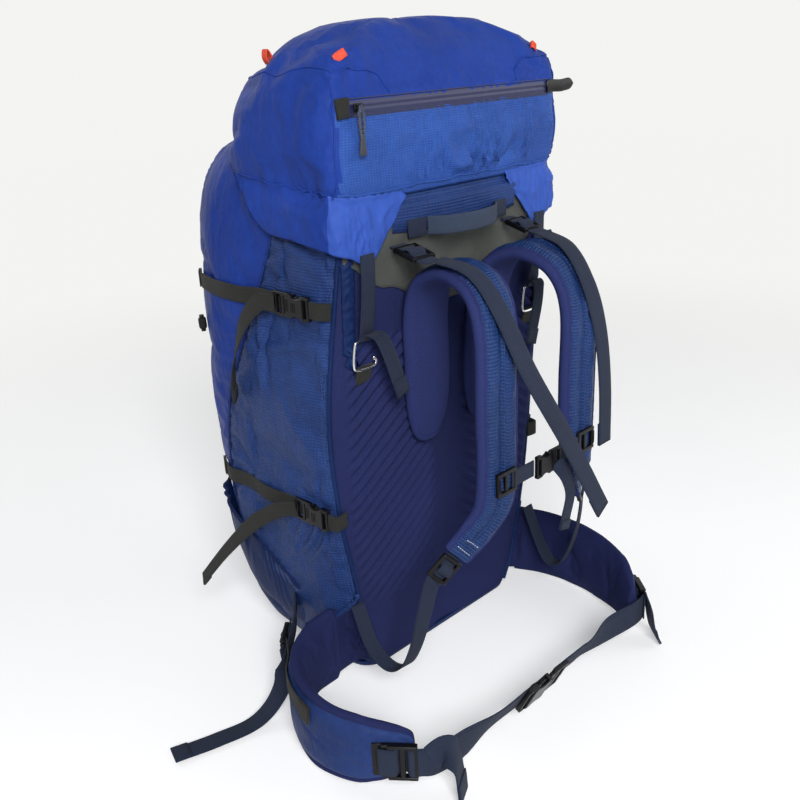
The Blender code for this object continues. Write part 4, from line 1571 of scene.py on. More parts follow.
beltTails = {
    "left": dict(stops=((-0.2500, -0.3340, 0.056), (-0.2330, -0.3430, 0.061), (-0.2240, -0.3500, 0.046),
                        (-0.2230, -0.3540, 0.022), (-0.2240, -0.3570, 0.0035)),
                 lanes=((0.0, 0.0, 1.0), (0.35, 0.15, 0.9), (0.75, 0.50, 0.3), (0.85, 0.50, 0.0),
                        (0.85, 0.50, 0.0))),
    "right": dict(stops=((0.1530, -0.3440, 0.071), (0.1520, -0.3530, 0.053), (0.1530, -0.3570, 0.032),
                         (0.1555, -0.3600, 0.015), (0.1590, -0.3635, 0.0040)),
                  lanes=((0.66, 0.75, 0.0),) * 5),
}
for name, tail in beltTails.items():
    lanes = [Vector(lane) for lane in tail["lanes"]]
    webStrap("hip_tail_" + name, tail["stops"], lanes, 0.034, foldEnd=0.020)

floorLane = Vector((0.25, 1.0, 0.0))
stabiliser = {
    "left": ((-0.1760, -0.030, 0.086), (-0.2050, -0.062, 0.078), (-0.2380, -0.088, 0.066),
             (-0.2640, -0.100, 0.030), (-0.3000, -0.098, 0.006), (-0.3500, -0.086, 0.003),
             (-0.4000, -0.070, 0.003)),
    "right": ((0.1760, -0.030, 0.086), (0.1930, -0.056, 0.080), (0.2130, -0.086, 0.068),
              (0.2280, -0.100, 0.032), (0.2450, -0.104, 0.006), (0.2750, -0.100, 0.003),
              (0.3150, -0.088, 0.003)),
}
for side, name in hands:
    lanes = [upward, upward, upward, Vector((0.3, 0.7, 0.4)), floorLane, floorLane, floorLane]
    lanes = [Vector((-side * a.x, a.y, a.z)) for a in lanes]
    webStrap("stabiliser_web_" + name, stabiliser[name], lanes, 0.025, "stabiliser_strap_" + name,
             foldEnd=0.018,
             foldSide=side)
wingSurface = {name: surfaceOf(piece) for name, piece in wings.items()}
tabs = {
    "left": ((-0.2310, -0.0760, 0.070), (-0.2420, -0.0930, 0.071), (-0.2580, -0.1200, 0.076),
             (-0.2820, -0.1420, 0.081), (-0.3000, -0.1720, 0.084), (-0.3060, -0.1960, 0.084),
             (-0.3080, -0.2140, 0.082)),
    "right": ((0.2140, -0.0740, 0.073), (0.2170, -0.0960, 0.073), (0.2080, -0.1280, 0.074),
              (0.2100, -0.1480, 0.075), (0.2130, -0.1700, 0.076), (0.2130, -0.1950, 0.076),
              (0.2110, -0.2150, 0.075)),
}
for name, stops in tabs.items():
    landed = [Vector(p) for p in stops[:2]]
    landed += [onSurface(wingSurface[name], Vector(p), 0.0020)[0] for p in stops[2:]]
    webStrap("stabiliser_tab_" + name, landed, upward, 0.024, finish="olive", foldEnd=0.014)
print("webbing laid")


# Compression straps

def wallPoint(z, y, side, off):
    line, _ = halfLine(z)
    for a, b in zip(line, line[1:]):
        if a.y >= y > b.y:
            p = a.lerp(b, (a.y - y) / (a.y - b.y))
            break
    return onSurface(packSurface, Vector((p.x * -side, p.y, z)), off)[0]


def compression(side, name, z):
    half = smoothAt(sack["keys"], z)[0]
    stops = [wallPoint(z, y, side, 0.0030) for y in (0.108, 0.090, 0.070, 0.045, 0.020, -0.005)]
    for y, most in ((-0.030, 0.0080), (-0.050, 0.0037), (-0.074, 0.0037)):    # low under the plug's travel
        wall = abs(wallPoint(z, y, side, 0.0028).x) - half
        stops.append(Vector((side * (half + min(max(wall, 0.0026), most)), y, z)))
    webStrap("side_web_" + name, stops, upward, 0.020, "strap_" + name, finish="olive", foldStart=0.018)
    back = [Vector((side * (half + 0.0075), -0.1275, z)),
            Vector((side * (half + 0.0045), -0.1400, z - 0.001))]
    back += [onSurface(packSurface, Vector((side * (half - 0.004), -0.150, z - 0.002)), 0.0014)[0]]
    webStrap("side_anchor_" + name, back, upward, 0.0195, finish="olive", thick=0.0026)


for side, name in hands:
    for level, z in zip(("upper", "lower"), sack["straps"]):
        compression(side, level + "_" + name, z)

tails = {
    "upper_left": ((-0.2000, -0.074, 0.495), (-0.2060, -0.052, 0.493), (-0.2090, -0.022, 0.462),
                   (-0.2070, 0.006, 0.408), (-0.2040, 0.016, 0.362)),
    "upper_right": ((0.2000, -0.074, 0.495), (0.2080, -0.055, 0.488), (0.2140, -0.060, 0.462),
                    (0.2160, -0.078, 0.430), (0.2150, -0.095, 0.405)),
    "lower_left": ((-0.1960, -0.074, 0.240), (-0.2040, -0.052, 0.235), (-0.2100, -0.005, 0.204),
                   (-0.2180, 0.050, 0.150), (-0.2300, 0.100, 0.090)),
    "lower_right": ((0.1960, -0.074, 0.240), (0.2040, -0.052, 0.235), (0.2090, -0.010, 0.200),
                    (0.2120, 0.020, 0.150), (0.2140, 0.032, 0.100)),
}
turnIn = {"upper": ((0.20, 0.25, 0.90), (0.62, 0.45, 0.55), (0.70, 0.66, 0.10)),
          "lower": ((0.10, 0.20, 0.95), (0.35, 0.35, 0.80), (0.45, 0.40, 0.70))}
for name, stops in tails.items():
    level, hand = name.split("_")
    side = 1.0 if hand == "left" else -1.0
    a, b, c = (Vector((side * x, y, z)) for x, y, z in turnIn[level])
    lanes = [upward, upward, a, b, c]
    webStrap("side_tail_" + name, stops, lanes, 0.0195, finish="olive", body="plug_" + name, foldEnd=0.012)
print("compression straps laid")


# Moulded hardware

def placed(at, along, lane):
    x = Vector(along).normalized()
    y = Vector(lane)
    y = (y - x * y.dot(x)).normalized()
    return Matrix.Translation(Vector(at)) @ Matrix((x, y, x.cross(y))).transposed().to_4x4()


def block(parts, matrix, centre, size, radius=0.0009):
    bm = bmesh.new()
    bmesh.ops.create_cube(bm, size=1.0)
    bmesh.ops.scale(bm, vec=Vector(size), verts=bm.verts[:])
    bmesh.ops.bevel(bm, geom=bm.edges[:], offset=min(radius, min(size) * 0.42), segments=3, profile=0.6,
                    affect="EDGES")
    bmesh.ops.translate(bm, vec=Vector(centre), verts=bm.verts[:])
    bmesh.ops.transform(bm, matrix=matrix, verts=bm.verts[:])
    parts.append(bm)


def arm(parts, matrix, points, radius, flat=1.0):
    line = [matrix @ Vector(p) for p in smoothLine(points, 6)]
    parts.append(tubeMesh(line, radius, 10, flat, matrix.to_3x3() @ upward))


def waistPlate(parts, matrix, start, stop, wide, z, thick, pinch=0.20):
    rings = []
    for i in range(17):
        t = i / 16
        ends = min(1.0, 0.86 + 0.14 * math.sqrt(min(t, 1 - t) / 0.10))
        u = wide / 2 * (1 - pinch * math.sin(math.pi * t) ** 1.5) * ends
        v, e = thick / 2, thick * 0.35
        shape = ((-u, -v * 0.4), (-u + e, -v), (u - e, -v), (u, -v * 0.4), (u, v * 0.4), (u - e, v),
                 (-u + e, v), (-u, v * 0.4))
        rings.append([matrix @ Vector((start + (stop - start) * t, a, z + b)) for a, b in shape])
    parts.append(clothMesh(rings, closed=True, cap=True))


def moulding(name, parts, body, *replaced):
    obj = makePiece(name, joinMeshes(parts), "plastic")
    obj.data.set_sharp_from_angle(angle=math.radians(35.0))
    return hold(obj, body, "plastic", *replaced)


def ladderLock(name, at, along, lane, web, thick, body, node, threaded=True, plate=False):
    matrix = placed(at, along, lane)
    edge = web / 2
    parts = []
    if plate:
        block(parts, matrix, (-0.0240, 0.0, 0.0030), (0.0180, web + 0.0060, 0.0034), 0.0015)
        for side in (-1.0, 1.0):
            block(parts, matrix, (-0.0170, side * (edge + 0.0014), 0.0012), (0.0120, 0.0050, 0.0060), 0.0018)
        for k in range(4):
            block(parts, matrix, (-0.0290 + 0.0030 * k, 0.0, 0.0010), (0.0010, web * 0.62, 0.0012), 0.0004)
    for side in (-1.0, 1.0):
        block(parts, matrix, (0.0, side * (edge + 0.0020), 0.0), (0.0320, 0.0042, thick), 0.0016)
    block(parts, matrix, (-0.0138, 0.0, 0.0), (0.0044, web + 0.004, thick * 0.85), 0.0014)
    block(parts, matrix, (0.0000, 0.0, -thick * 0.10), (0.0058, web + 0.004, thick * 0.70), 0.0014)
    block(parts, matrix, (0.0138, 0.0, 0.0), (0.0044, web + 0.004, thick * 0.85), 0.0014)
    for k in (-1.0, 0.0, 1.0):
        block(parts, matrix, (0.0145 + k * 0.0012, 0.0, thick * 0.45), (0.0005, web * 0.8, 0.0008), 0.0002)
    obj = moulding(name, parts, body, node)
    if threaded:
        path = ((-0.0260, -0.0010), (-0.0170, -0.0024), (-0.0080, -0.0020), (-0.0046, 0.0030), (0.0, 0.0046),
                (0.0046, 0.0030), (0.0080, -0.0020), (0.0170, -0.0010), (0.0250, 0.0005))
        stops = [matrix @ Vector((x, 0.0, z * thick / 0.006)) for x, z in path]
        lane = matrix.to_3x3() @ forward
        webStrap(name + "_thread", stops, lane, web * 0.96, body=body, steps=6)
    return obj


def socketShape(name, at, along, lane, web, length, thick, body, node):
    matrix = placed(at, along, lane)
    edge = web / 2
    parts = []
    for side in (-1.0, 1.0):
        level = side * (thick / 2 - 0.0012)
        waistPlate(parts, matrix, length * 0.02, length * 0.78, web + 0.0050, level, 0.0024)
        block(parts, matrix, (length * 0.09, side * (edge + 0.0012), 0.0),
              (length * 0.14, 0.0034, thick * 0.96), 0.0013)
        block(parts, matrix, (length * 0.80, side * (edge + 0.0016), 0.0),
              (length * 0.38, 0.0040, thick * 0.72), 0.0014)
    block(parts, matrix, (length * 0.70, 0.0, 0.0), (length * 0.18, web + 0.0046, thick * 0.90), 0.0014)
    block(parts, matrix, (length * 0.95, 0.0, 0.0), (length * 0.11, web + 0.0040, thick * 0.55), 0.0013)
    for k in range(3):
        x = length * (0.18 + 0.09 * k)
        block(parts, matrix, (x, 0.0, thick / 2), (0.0009, web * 0.55, 0.0010), 0.0003)
    return moulding(name, parts, body, node)


def plugShape(name, at, along, lane, web, reach, tongue, thick, body, node):
    matrix = placed(at, along, lane)
    edge = web / 2
    parts = []
    block(parts, matrix, (-reach + 0.0021, 0.0, 0.0), (0.0042, web + 0.0080, thick * 0.9), 0.0014)
    block(parts, matrix, (-reach * 0.50, 0.0, -thick * 0.08), (0.0046, web + 0.0050, thick * 0.8), 0.0014)
    block(parts, matrix, (-0.0050, 0.0, 0.0), (0.0085, web + 0.0080, thick), 0.0016)
    for side in (-1.0, 1.0):
        block(parts, matrix, (-reach / 2, side * (edge + 0.0021), 0.0), (reach, 0.0038, thick * 0.92), 0.0014)
        curve = ((-0.004, side * (edge - 0.0020), 0.0), (tongue * 0.35, side * (edge - 0.0006), 0.0),
                 (tongue * 0.70, side * (edge - 0.0004), 0.0), (tongue, side * (edge - 0.0036), 0.0))
        arm(parts, matrix, curve, 0.0017, min(1.0, thick / 0.005))
    block(parts, matrix, (tongue * 0.42, 0.0, 0.0), (tongue * 0.9, 0.0040, thick * 0.4), 0.0006)
    for k in range(4):
        block(parts, matrix, (-0.0020 - 0.0018 * k, 0.0, thick / 2), (0.0006, web * 0.7, 0.0007), 0.0002)
    return moulding(name, parts, body, node)


for side, name in hands:
    start, heading = strapEnd(side)
    ladderLock("strap_lock_" + name, start, heading, twist(side, 0.45), 0.020, 0.006, "pack",
               "ladder_lock_" + name)
    ladderLock("lifter_lock_" + name, (side * 0.095, -0.190, 0.546), (0.0, -0.90, -0.25), across, 0.025,
               0.006, "pack", "load_lifter_buckle_" + name)
    for level, z in zip(("upper", "lower"), sack["straps"]):
        half = smoothAt(sack["keys"], z)[0]
        mouth = (side * (half + 0.0075), -0.098, z)
        lane = upward * -side
        full = level + "_" + name
        socketShape("side_socket_" + full, mouth, rearward, lane, 0.020, 0.030, 0.010, "pack",
                    "socket_" + full)
        plugShape("side_plug_" + full, mouth, rearward, lane, 0.020, 0.028, 0.018, 0.005, "plug_" + full,
                  "plug_" + full)

sternum = {"z": 0.300, "x": 0.075, "faceY": -0.2956, "web": 0.020, "inner": {"left": 0.027, "right": 0.008}}
webY = sternum["faceY"] - 0.0030
sternumZ = sternum["z"]
for side, name in hands:
    at = (side * sternum["x"], webY, sternumZ)
    ladderLock("sternum_clip_" + name, at, (side, 0.0, 0.0), upward * side, sternum["web"], 0.006,
               "sternum_bar", "sternum_slider_" + name, threaded=False)
    stops = [(side * x, webY - 0.0006, sternumZ) for x in (0.0660, 0.0560, 0.0420, sternum["inner"][name])]
    webStrap("sternum_web_" + name, stops, upward, sternum["web"], "sternum_strap_" + name,
             body="sternum_bar")
mouth = (-0.002, webY - 0.0036, sternumZ)
socketShape("sternum_box", mouth, -across, upward, sternum["web"], 0.024, 0.008, "sternum_bar",
            "sternum_socket")
plugShape("sternum_prongs", mouth, -across, upward, sternum["web"], 0.022, 0.014, 0.0035, "sternum_plug",
          "sternum_plug")
droop = [(0.010, webY - 0.0062, 0.296), (0.022, webY - 0.0110, 0.276), (0.030, webY - 0.0120, 0.250),
         (0.024, webY - 0.0110, 0.222), (0.020, webY - 0.0100, 0.206)]
droopLanes = [upward, Vector((0.7, 0.0, 0.7)), across, across, across]
webStrap("sternum_tail", droop, droopLanes, 0.019, body="sternum_plug", foldEnd=0.010)

mouth = (hip["mouth"], hip["y"], hip["z"])
socketShape("hip_box", mouth, -across, hip["tilt"], hip["web"], 0.040, 0.010, "pack", "hip_socket")
plugShape("hip_prongs", mouth, -across, hip["tilt"], hip["web"], 0.034, 0.026, 0.005, "hip_plug", "hip_plug")
beltLocks = {
    "hip_lock": dict(web=hip["web"], thick=0.008, node="hip_adjuster_", plate=True,
                     left=((-0.2680, -0.3135, 0.052), (0.63, -0.78, 0.0), -upward),
                     right=((0.1610, -0.3335, 0.052), (-0.66, -0.75, 0.0), upward)),
    "stabiliser_lock": dict(web=0.025, thick=0.006, node="stabiliser_buckle_", plate=False,
                            left=((-0.228, -0.0725, 0.070), (-0.80, -0.60, -0.25), upward),
                            right=((0.212, -0.0690, 0.074), (0.55, -0.80, -0.25), -upward)),
}
for kind, lock in beltLocks.items():
    for _, name in hands:
        ladderLock(kind + "_" + name, *lock[name], lock["web"], lock["thick"], "pack", lock["node"] + name,
                   plate=lock["plate"])

hook = {"x": 0.148, "y": -0.1605, "z": 0.442, "wire": 0.0015,
        "bends": ((0.012, -0.008), (0.016, -0.013), (0.012, -0.018), (-0.012, -0.018), (-0.017, -0.011),
                  (-0.014, 0.010), (-0.009, 0.014), (0.014, 0.014))}
for side, name in hands:
    line = smoothLine([(side * hook["x"] + dx, hook["y"], hook["z"] + dz) for dx, dz in hook["bends"]], 8)
    wirePiece = makePiece("lid_wire_" + name, tubeMesh(line, hook["wire"], 12, up=forward), "wire")
    hold(wirePiece, "pack", "wire", "lid_hook_" + name)
print("hardware placed")


# Lid zip

zipper = {
    "z": lid["zipZ"],
    "half": 0.166,
    "wide": 0.0092,
    "y": -0.1726,
    "stitchY": -0.1729,
    "slider": -0.152,
    "sliderY": -0.1763,
    "pullY": -0.1806,
    "cord": 0.0013,
    "tip": (            # z, half width, half depth
        (0.6745, 0.0016, 0.0012), (0.6730, 0.0030, 0.0019), (0.6680, 0.0033, 0.0020),
        (0.6600, 0.0044, 0.0020), (0.6545, 0.0053, 0.0019), (0.6525, 0.0046, 0.0013),
    ),
}


def zipTape():
    def point(t, s):
        dz = zipper["wide"] * (2 * t - 1)
        x = zipper["half"] * (2 * s - 1)
        lip = 0.0007 * math.sin(math.pi * min(max((abs(dz) - 0.0004) / 0.0046, 0.0), 1.0)) ** 0.6
        hem = 0.0003 * bell(abs(dz), 0.0074, 0.0007)
        teeth = 0.00022 * math.sin(2 * math.pi * x / 0.0022) * bell(abs(dz), 0.0020, 0.0014)
        return Vector((x, zipper["y"] - lip + hem - teeth, zipper["z"] + dz))

    obj = makePiece("zip_strip", clothMesh(sheetRows(37, 420, point)), "zipTape", facing(rearward))
    thicken(obj, 0.0004)
    return hold(obj, "lid", "zip", "zip_tape")


zipTape()
for sign, name in ((-1.0, "low"), (1.0, "high")):
    z = zipper["z"] + sign * 0.0080
    line = [Vector((zipper["half"] * (2 * i / 200 - 1), zipper["stitchY"], z)) for i in range(201)]
    threads = stitchMesh(line, [rearward] * len(line), 0.0020, 0.0031, 0.0003)
    hold(makePiece("zip_stitch_" + name, threads, "darkThread"), "lid", "zip")

sliderMatrix = placed((zipper["slider"], zipper["sliderY"], zipper["z"]), across, upward)
parts = []
block(parts, sliderMatrix, (0.0, 0.0, 0.0003), (0.0120, 0.0088, 0.0014), 0.0006)
block(parts, sliderMatrix, (0.0010, 0.0, 0.0022), (0.0090, 0.0060, 0.0012), 0.0005)
bridge = ((-0.0044, 0.0, 0.0010), (-0.0030, 0.0, 0.0024), (0.0016, 0.0, 0.0026), (0.0040, 0.0, 0.0012))
arm(parts, sliderMatrix, bridge, 0.0009)
moulding("zip_runner", parts, "zip_slider", "zip_slider")

finishes["fleckCord"] = webbingCloth("flecked_cord", dict(
    dark=(0.004, 0.007, 0.026), light=(0.010, 0.016, 0.050), thread=(0.240, 0.280, 0.380)))
finishes["tip"] = mouldedFace("grey_tip", dict(
    dark=(0.030, 0.032, 0.042), light=(0.060, 0.063, 0.076), rough=(0.45, 0.65), grain=0.5, metal=0.0,
    shine=0.3))
pullX, pullY = zipper["slider"], zipper["pullY"]
loopSide = ((0.0014, 0.6700), (0.0026, 0.6800), (0.0030, 0.6920))
loop = [(pullX - out, pullY, z) for out, z in loopSide] + [(pullX, pullY, 0.7005)]
loop += [(pullX + out, pullY, z) for out, z in reversed(loopSide)]
strands = []
for phase in (0.0, math.pi):
    twisted = []
    for i, p in enumerate(smoothLine(loop, 14)):
        a = phase + i * 0.55
        twisted.append(p + Vector((math.cos(a) * 0.0006, math.sin(a) * 0.0006, 0.0)))
    strands.append(tubeMesh(twisted, zipper["cord"], 8, up=forward))
hold(makePiece("zip_cord", joinMeshes(strands), "fleckCord"), "zip_pull", "plastic", "zip_pull")
rings = []
for z, wide, deep in zipper["tip"]:
    rings.append([Vector((pullX + wide * math.cos(a), pullY + deep * math.sin(a), z))
                  for a in (2 * math.pi * k / 20 for k in range(20))])
hold(soften(makePiece("zip_tip", clothMesh(rings, closed=True, cap=True), "tip")), "zip_pull", "plastic")


def onLid(x, y, z, lift=0.0):
    return onSurface(lidSurface, Vector((x, y, z)), lift)[0]


garage = [onLid(x, -0.185, zipper["z"], 0.0014) for x in (-0.1850, -0.1780, -0.1700, -0.1620)]
webStrap("zip_garage", garage, upward, 0.0195, finish="olive", body="lid", thick=0.0022, foldStart=0.004)
endStops = [onLid(0.160, -0.185, zipper["z"], 0.0018), onLid(0.172, -0.185, zipper["z"], 0.0020),
            Vector((0.1880, -0.1740, zipper["z"])), Vector((0.2030, -0.1735, zipper["z"] + 0.001)),
            Vector((0.2140, -0.1732, zipper["z"] + 0.001))]
endFrames = sweepFrames(endStops, upward, 8)
endRings = []
for i, (p, _, lane, normal) in enumerate(endFrames):
    left = (len(endFrames) - 1 - i) / 8
    wide = 0.0072 * (1.0 if left > 1 else max(0.12, math.sqrt(max(0.0, 1 - (1 - left) ** 2))))
    endRings.append([p + lane * math.cos(a) * wide + normal * math.sin(a) * 0.0016
                     for a in (2 * math.pi * k / 16 for k in range(16))])
hold(makePiece("zip_end_tab", clothMesh(endRings, closed=True, cap=True), "plastic"), "lid", "plastic")
print("zip fitted")


# Seams, piping and loops

lidSeams = {
    "corner": ((0.190, -0.180, 0.612), (0.190, -0.180, 0.660), (0.188, -0.178, 0.700),
               (0.186, -0.176, 0.738)),
    "crown": ((0.140, 0.020, 0.728), (0.170, -0.010, 0.738), (0.190, -0.060, 0.743), (0.190, -0.120, 0.743),
              (0.184, -0.160, 0.742), (0.170, -0.175, 0.740), (0.130, -0.180, 0.739), (0.114, -0.180, 0.735),
              (0.106, -0.180, 0.726), (0.104, -0.180, 0.711)),
    "hem": ((0.195, -0.165, 0.6115), (0.195, -0.110, 0.617), (0.195, -0.060, 0.6245), (0.195, -0.018, 0.631)),
}
cornerLoops = (         # foot, then lean
    ((0.168, -0.052, 0.748), (0.25, 0.1, 1.0)),
    ((0.164, -0.158, 0.746), (-0.7, -0.35, 0.45)),
)


def lidSeam(name, path, radius=0.0011, finish="royal"):
    return piping(name, [Vector(p) for p in path], lidSurface, radius, finish, "lid", "royal", 0.0002)


for side, name in hands:
    lidSeam("lid_corner_seam_" + name, mirrorStops(lidSeams["corner"], side))
    lidSeam("lid_crown_seam_" + name, smoothLine(mirrorStops(lidSeams["crown"], side), 8))
    for k, ends in enumerate(cornerLoops):
        spot, lean = mirrorStops(ends, side)
        foot = onLid(*spot, -0.002)
        lean = lean.normalized()
        lane = forward if k == 0 else lean.cross(Vector((0.0, -1.0, 0.3))).normalized()
        wide = lean.cross(lane).normalized()
        stops = [foot + wide * 0.0022, foot + lean * 0.007 + wide * 0.0038, foot + lean * 0.0140,
                 foot + lean * 0.007 - wide * 0.0030, foot - wide * 0.0022]
        hold(band(f"corner_loop_{k}_{name}", stops, lane, 0.0085, "red", thick=0.0014), "lid", "zip")

rimLow = [(x, -0.180, 0.6105) for x in (-0.180, -0.120, -0.060, 0.0, 0.060, 0.120, 0.180)]
lidSeam("lid_hem_rear", rimLow, 0.0012, "lidRib")
for side, name in hands:
    lidSeam("lid_hem_" + name, mirrorStops(lidSeams["hem"], side))

heights = [0.012 + (0.588 - 0.012) * i / 90 for i in range(91)]
for side, name in hands:
    seam = []
    frontSeam = []
    for z in heights:
        _, sidePart, backLine = splitSide(z)
        seam.append(Vector((backLine[0].x * -side, backLine[0].y, z)))
        frontSeam.append(Vector((sidePart[0].x * -side, sidePart[0].y, z)))
    piping("back_piping_" + name, seam, packSurface, 0.0026, "navyPlain", "pack", "navy", 0.0010, 160)
    for off, tag in ((0.006, "a"), (0.0095, "b")):
        path = [p + Vector((0.0, off, 0.0)) for p in seam]
        stitches("back_stitch_" + tag + "_" + name, path, packSurface, "thread", "pack", "navy", size=0.0026)
    piping("front_seam_" + name, frontSeam, packSurface, 0.0010, "darkThread", "pack", "royal", 0.0002, 160)
    stitches("front_stitch_" + name, [p + Vector((0.0, 0.004, 0.0)) for p in frontSeam], packSurface,
             "darkThread", "pack", "royal")


beltSlots = {"y": -0.037, "long": 0.118, "low": 0.013, "frontTop": 0.046, "rise": 0.080, "lip": 0.0030}


def beltSlot(side, name):
    def point(t, s):
        high = beltSlots["frontTop"] + beltSlots["rise"] * s
        z = beltSlots["low"] + (high - beltSlots["low"]) * t
        half = smoothAt(sack["keys"], z)[0]
        start = Vector((side * (half + 0.004), beltSlots["y"] - beltSlots["long"] * s, z))
        return onSurface(packSurface, start, 0.0012)[0]

    grid = sheetRows(20, 40, point)
    outward = facing(Vector((side, -0.3, 0.0)))
    sewn("belt_slot_" + name, grid, "lining", outward, 0.0010, "lining", offset=1.0)
    lip = [p + Vector((side * 0.0016, 0.0, 0.0)) for p in grid[-1]]
    roundPiece("belt_slot_lip_" + name, lip, beltSlots["lip"], "navy", "pack", "navy", 10)


for side, name in hands:
    beltSlot(side, name)
    padPiece, padFrames = shoulderPads[name]
    pad = surfaceOf(padPiece)
    for k, back in enumerate((4, 9)):
        p, _, lane, normal = padFrames[-1 - back]
        line = [p + normal * 0.010 + lane * 0.013 * (2 * i / 10 - 1) for i in range(11)]
        stitches(f"strap_tack_{k}_{name}", line, pad, "whiteThread", "pack", "navy", lift=0.0006,
                 size=0.0030, space=0.0040, radius=0.0005)
    rootLine = [Vector((side * 0.050 + 0.026 * math.cos(a), -0.180, 0.325 + 0.014 * math.sin(a)))
                for a in (math.pi + math.pi * i / 24 for i in range(25))]
    stitches("strap_root_stitch_" + name, rootLine, pad, "darkThread", "pack", "navy", lift=0.0003)
for name, grid in skirtGrids.items():
    near = sorted(grid[1], key=lambda p: abs(abs(p.x) - 0.146))[:12]
    near.sort(key=lambda p: p.x)
    for k, up in enumerate((0.003, 0.006)):
        line = [p + Vector((0.0, -0.0006, up)) for p in near]
        normals = [rearward] * len(line)
        hold(makePiece(f"ear_stitch_{k}_{name}", stitchMesh(line, normals, 0.0024, 0.0036, 0.0004),
                       "whiteThread"), "pack", "royal")
roundPiece("patch_edge", patchGrid[0], patch["edge"], "patch", "pack", "slate", 6)
print("seams sewn")


# Front pocket, toggle

frontPouch = {"half": 0.142, "low": 0.070, "top": 0.385, "dip": 0.030, "puff": 0.0045, "gather": 0.0016,
              "hem": 0.0026}


def frontPocket():
    frontSurface = surfaceOf(frontClothPiece)

    def point(t, u):
        s = 2 * u - 1
        top = frontPouch["top"] - frontPouch["dip"] * s * s
        z = frontPouch["low"] + (top - frontPouch["low"]) * t
        x = s * frontPouch["half"]
        start = Vector((x, smoothAt(sack["keys"], z)[2] + 0.02, z))
        spot, normal = onSurface(frontSurface, start)
        edge = ease(1 - abs(s), 0.0, 0.10) * ease(t, 0.0, 0.06)
        turns = x / 0.018 + 1.5 * grain(x * 20, z * 9, 3.0)
        gather = frontPouch["gather"] * swing(turns) * ease(t, 0.72, 1.0)
        puff = frontPouch["puff"] * math.sin(math.pi * min(t * 0.9 + 0.1, 1.0))
        puff += 0.0015 * grain(x * 14.0, z * 12.0, 7.0)
        return spot + normal * (0.0012 + (puff + gather + 0.0008) * edge)

    grid = sheetRows(60, 90, point)
    sewn("front_pocket", grid, "navy", facing(forward), 0.0012, "royal", offset=1.0)
    roundPiece("front_pocket_hem", grid[-1], frontPouch["hem"], "darkThread", "pack", "royal")


frontPocket()
toggle = {"near": (-0.172, 0.098, 0.438), "size": (0.0100, 0.0150, 0.0090), "bar": 0.0030}
toggleAt, toggleNormal = onSurface(packSurface, Vector(toggle["near"]), 0.006)
toggleMatrix = placed(toggleAt, toggleNormal, upward)
parts = []
block(parts, toggleMatrix, (0.0, 0.0, 0.0), toggle["size"], 0.0036)
arm(parts, toggleMatrix, [(0.0, y, 0.0) for y in (-0.0105, -0.0080, 0.0080, 0.0105)], toggle["bar"])
moulding("front_toggle", parts, "pack")
print("front pocket sewn")


# Camera, floor and light

camera = {
    "place": (-0.811, -0.8877, 0.76),
    "right": (0.7014, -0.7114, -0.0435),
    "down": (-0.2828, -0.2217, -0.9332),
    "ahead": (0.6543, 0.6668, -0.3567),
    "focal": 944.0,
    "image": 800.0,
    "sensor": 36.0,
}
lens = bpy.data.cameras.new("camera")
lens.sensor_width = camera["sensor"]
lens.lens = camera["focal"] / camera["image"] * camera["sensor"]
lens.clip_start = 0.02
viewer = bpy.data.objects.new("camera", lens)
turn = Matrix((Vector(camera["right"]), -Vector(camera["down"]), -Vector(camera["ahead"]))).transposed()
viewer.matrix_world = Matrix.Translation(Vector(camera["place"])) @ turn.to_4x4()
scene.collection.objects.link(viewer)
scene.camera = viewer

lamps = {
    "key": dict(place=(-1.6, -2.2, 1.9), aim=(-0.05, -0.05, 0.35), size=1.1, watts=98.0),
    "fill": dict(place=(1.9, -1.9, 1.5), aim=(0.0, -0.1, 0.35), size=2.0, watts=20.0),
    "rim": dict(place=(-0.6, 2.4, 1.9), aim=(0.0, 0.0, 0.4), size=1.8, watts=16.0),
}
for name, lamp in lamps.items():
    light = bpy.data.lights.new(name, "AREA")
    light.size = lamp["size"]
    light.energy = lamp["watts"]
    holder = bpy.data.objects.new(name, light)
    holder.location = lamp["place"]
    aim = Vector(lamp["aim"]) - Vector(lamp["place"])
    holder.rotation_euler = aim.to_track_quat("-Z", "Y").to_euler()
    scene.collection.objects.link(holder)


def seenRays(tree):
    rays = tree.nodes.new("ShaderNodeLightPath")
    seen = maths(tree, "MAXIMUM", rays.outputs["Is Camera Ray"], rays.outputs["Is Glossy Ray"])
    return maths(tree, "MAXIMUM", seen, rays.outputs["Is Transmission Ray"])


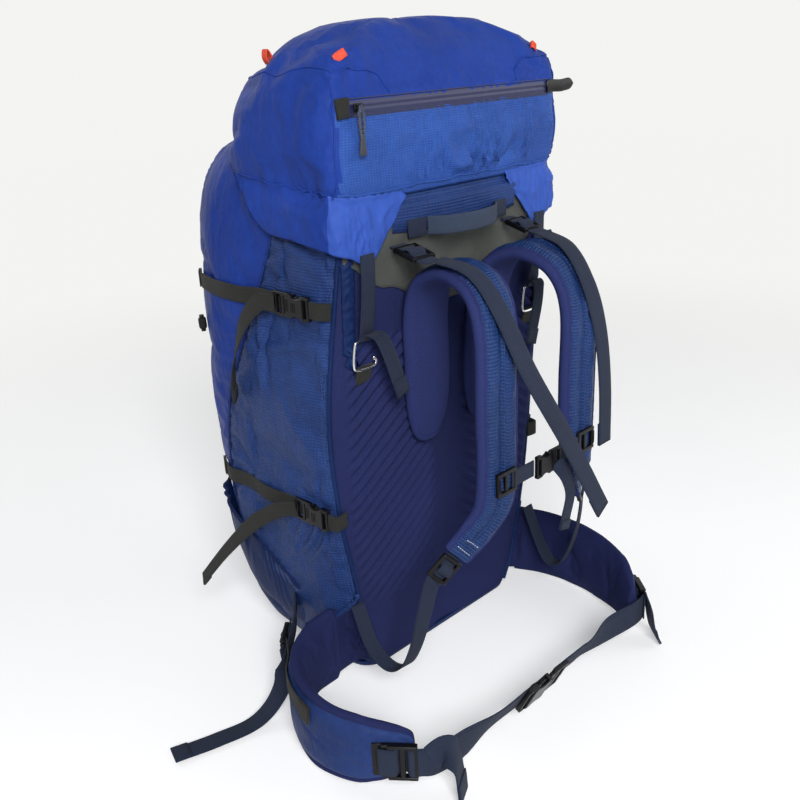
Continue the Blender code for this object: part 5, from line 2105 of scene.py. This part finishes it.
world = bpy.data.worlds.new("studio")
scene.world = world
world.use_nodes = True
tree = world.node_tree
background = tree.nodes["Background"]
background.inputs["Color"].default_value = (0.93, 0.93, 0.91, 1.0)
seen = seenRays(tree)
sky = tree.nodes.new("ShaderNodeTexCoord")
above = splitVector(tree, sky.outputs["Generated"])[2]
ambient = spread(tree, above, 0.30, 0.14)
strength = tree.nodes.new("ShaderNodeMix")
tree.links.new(seen, strength.inputs["Factor"])
tree.links.new(ambient, strength.inputs["A"])
strength.inputs["B"].default_value = 0.97
tree.links.new(strength.outputs[0], background.inputs["Strength"])

finishes["floor"], tree, shader = shade("pale_floor")
tone = noiseField(tree, objectPlace(tree), 3.0, 2.0)
tree.links.new(blendColour(tree, tone, (0.78, 0.78, 0.79), (0.82, 0.82, 0.83)), shader.inputs["Base Color"])
shader.inputs["Roughness"].default_value = 0.6
away = tree.nodes.new("ShaderNodeVectorMath")
away.operation = "LENGTH"
tree.links.new(objectPlace(tree), away.inputs[0])
fade = tree.nodes.new("ShaderNodeMapRange")
fade.interpolation_type = "SMOOTHSTEP"
tune(fade, {"From Min": 0.7, "From Max": 2.2})
tree.links.new(away.outputs["Value"], fade.inputs["Value"])
seen = seenRays(tree)
lift = tree.nodes.new("ShaderNodeEmission")    # near floor stays pale and keeps the shadow
lift.inputs["Color"].default_value = (0.98, 0.99, 1.0, 1.0)
tree.links.new(maths(tree, "MULTIPLY", seen, 0.30), lift.inputs["Strength"])
near = tree.nodes.new("ShaderNodeAddShader")
tree.links.new(shader.outputs[0], near.inputs[0])
tree.links.new(lift.outputs[0], near.inputs[1])
glow = tree.nodes.new("ShaderNodeEmission")
glow.inputs["Color"].default_value = (0.90, 0.90, 0.885, 1.0)
mixed = tree.nodes.new("ShaderNodeMixShader")
tree.links.new(maths(tree, "MULTIPLY", fade.outputs[0], seen), mixed.inputs[0])
tree.links.new(near.outputs[0], mixed.inputs[1])
tree.links.new(glow.outputs[0], mixed.inputs[2])
tree.links.new(mixed.outputs[0], tree.nodes["Material Output"].inputs["Surface"])
bm = bmesh.new()
bmesh.ops.create_grid(bm, x_segments=2, y_segments=2, size=6.0)
floor = makePiece("floor", bm, "floor", facing(upward))
floor.location.z = -0.0005
print("camera and light ready")
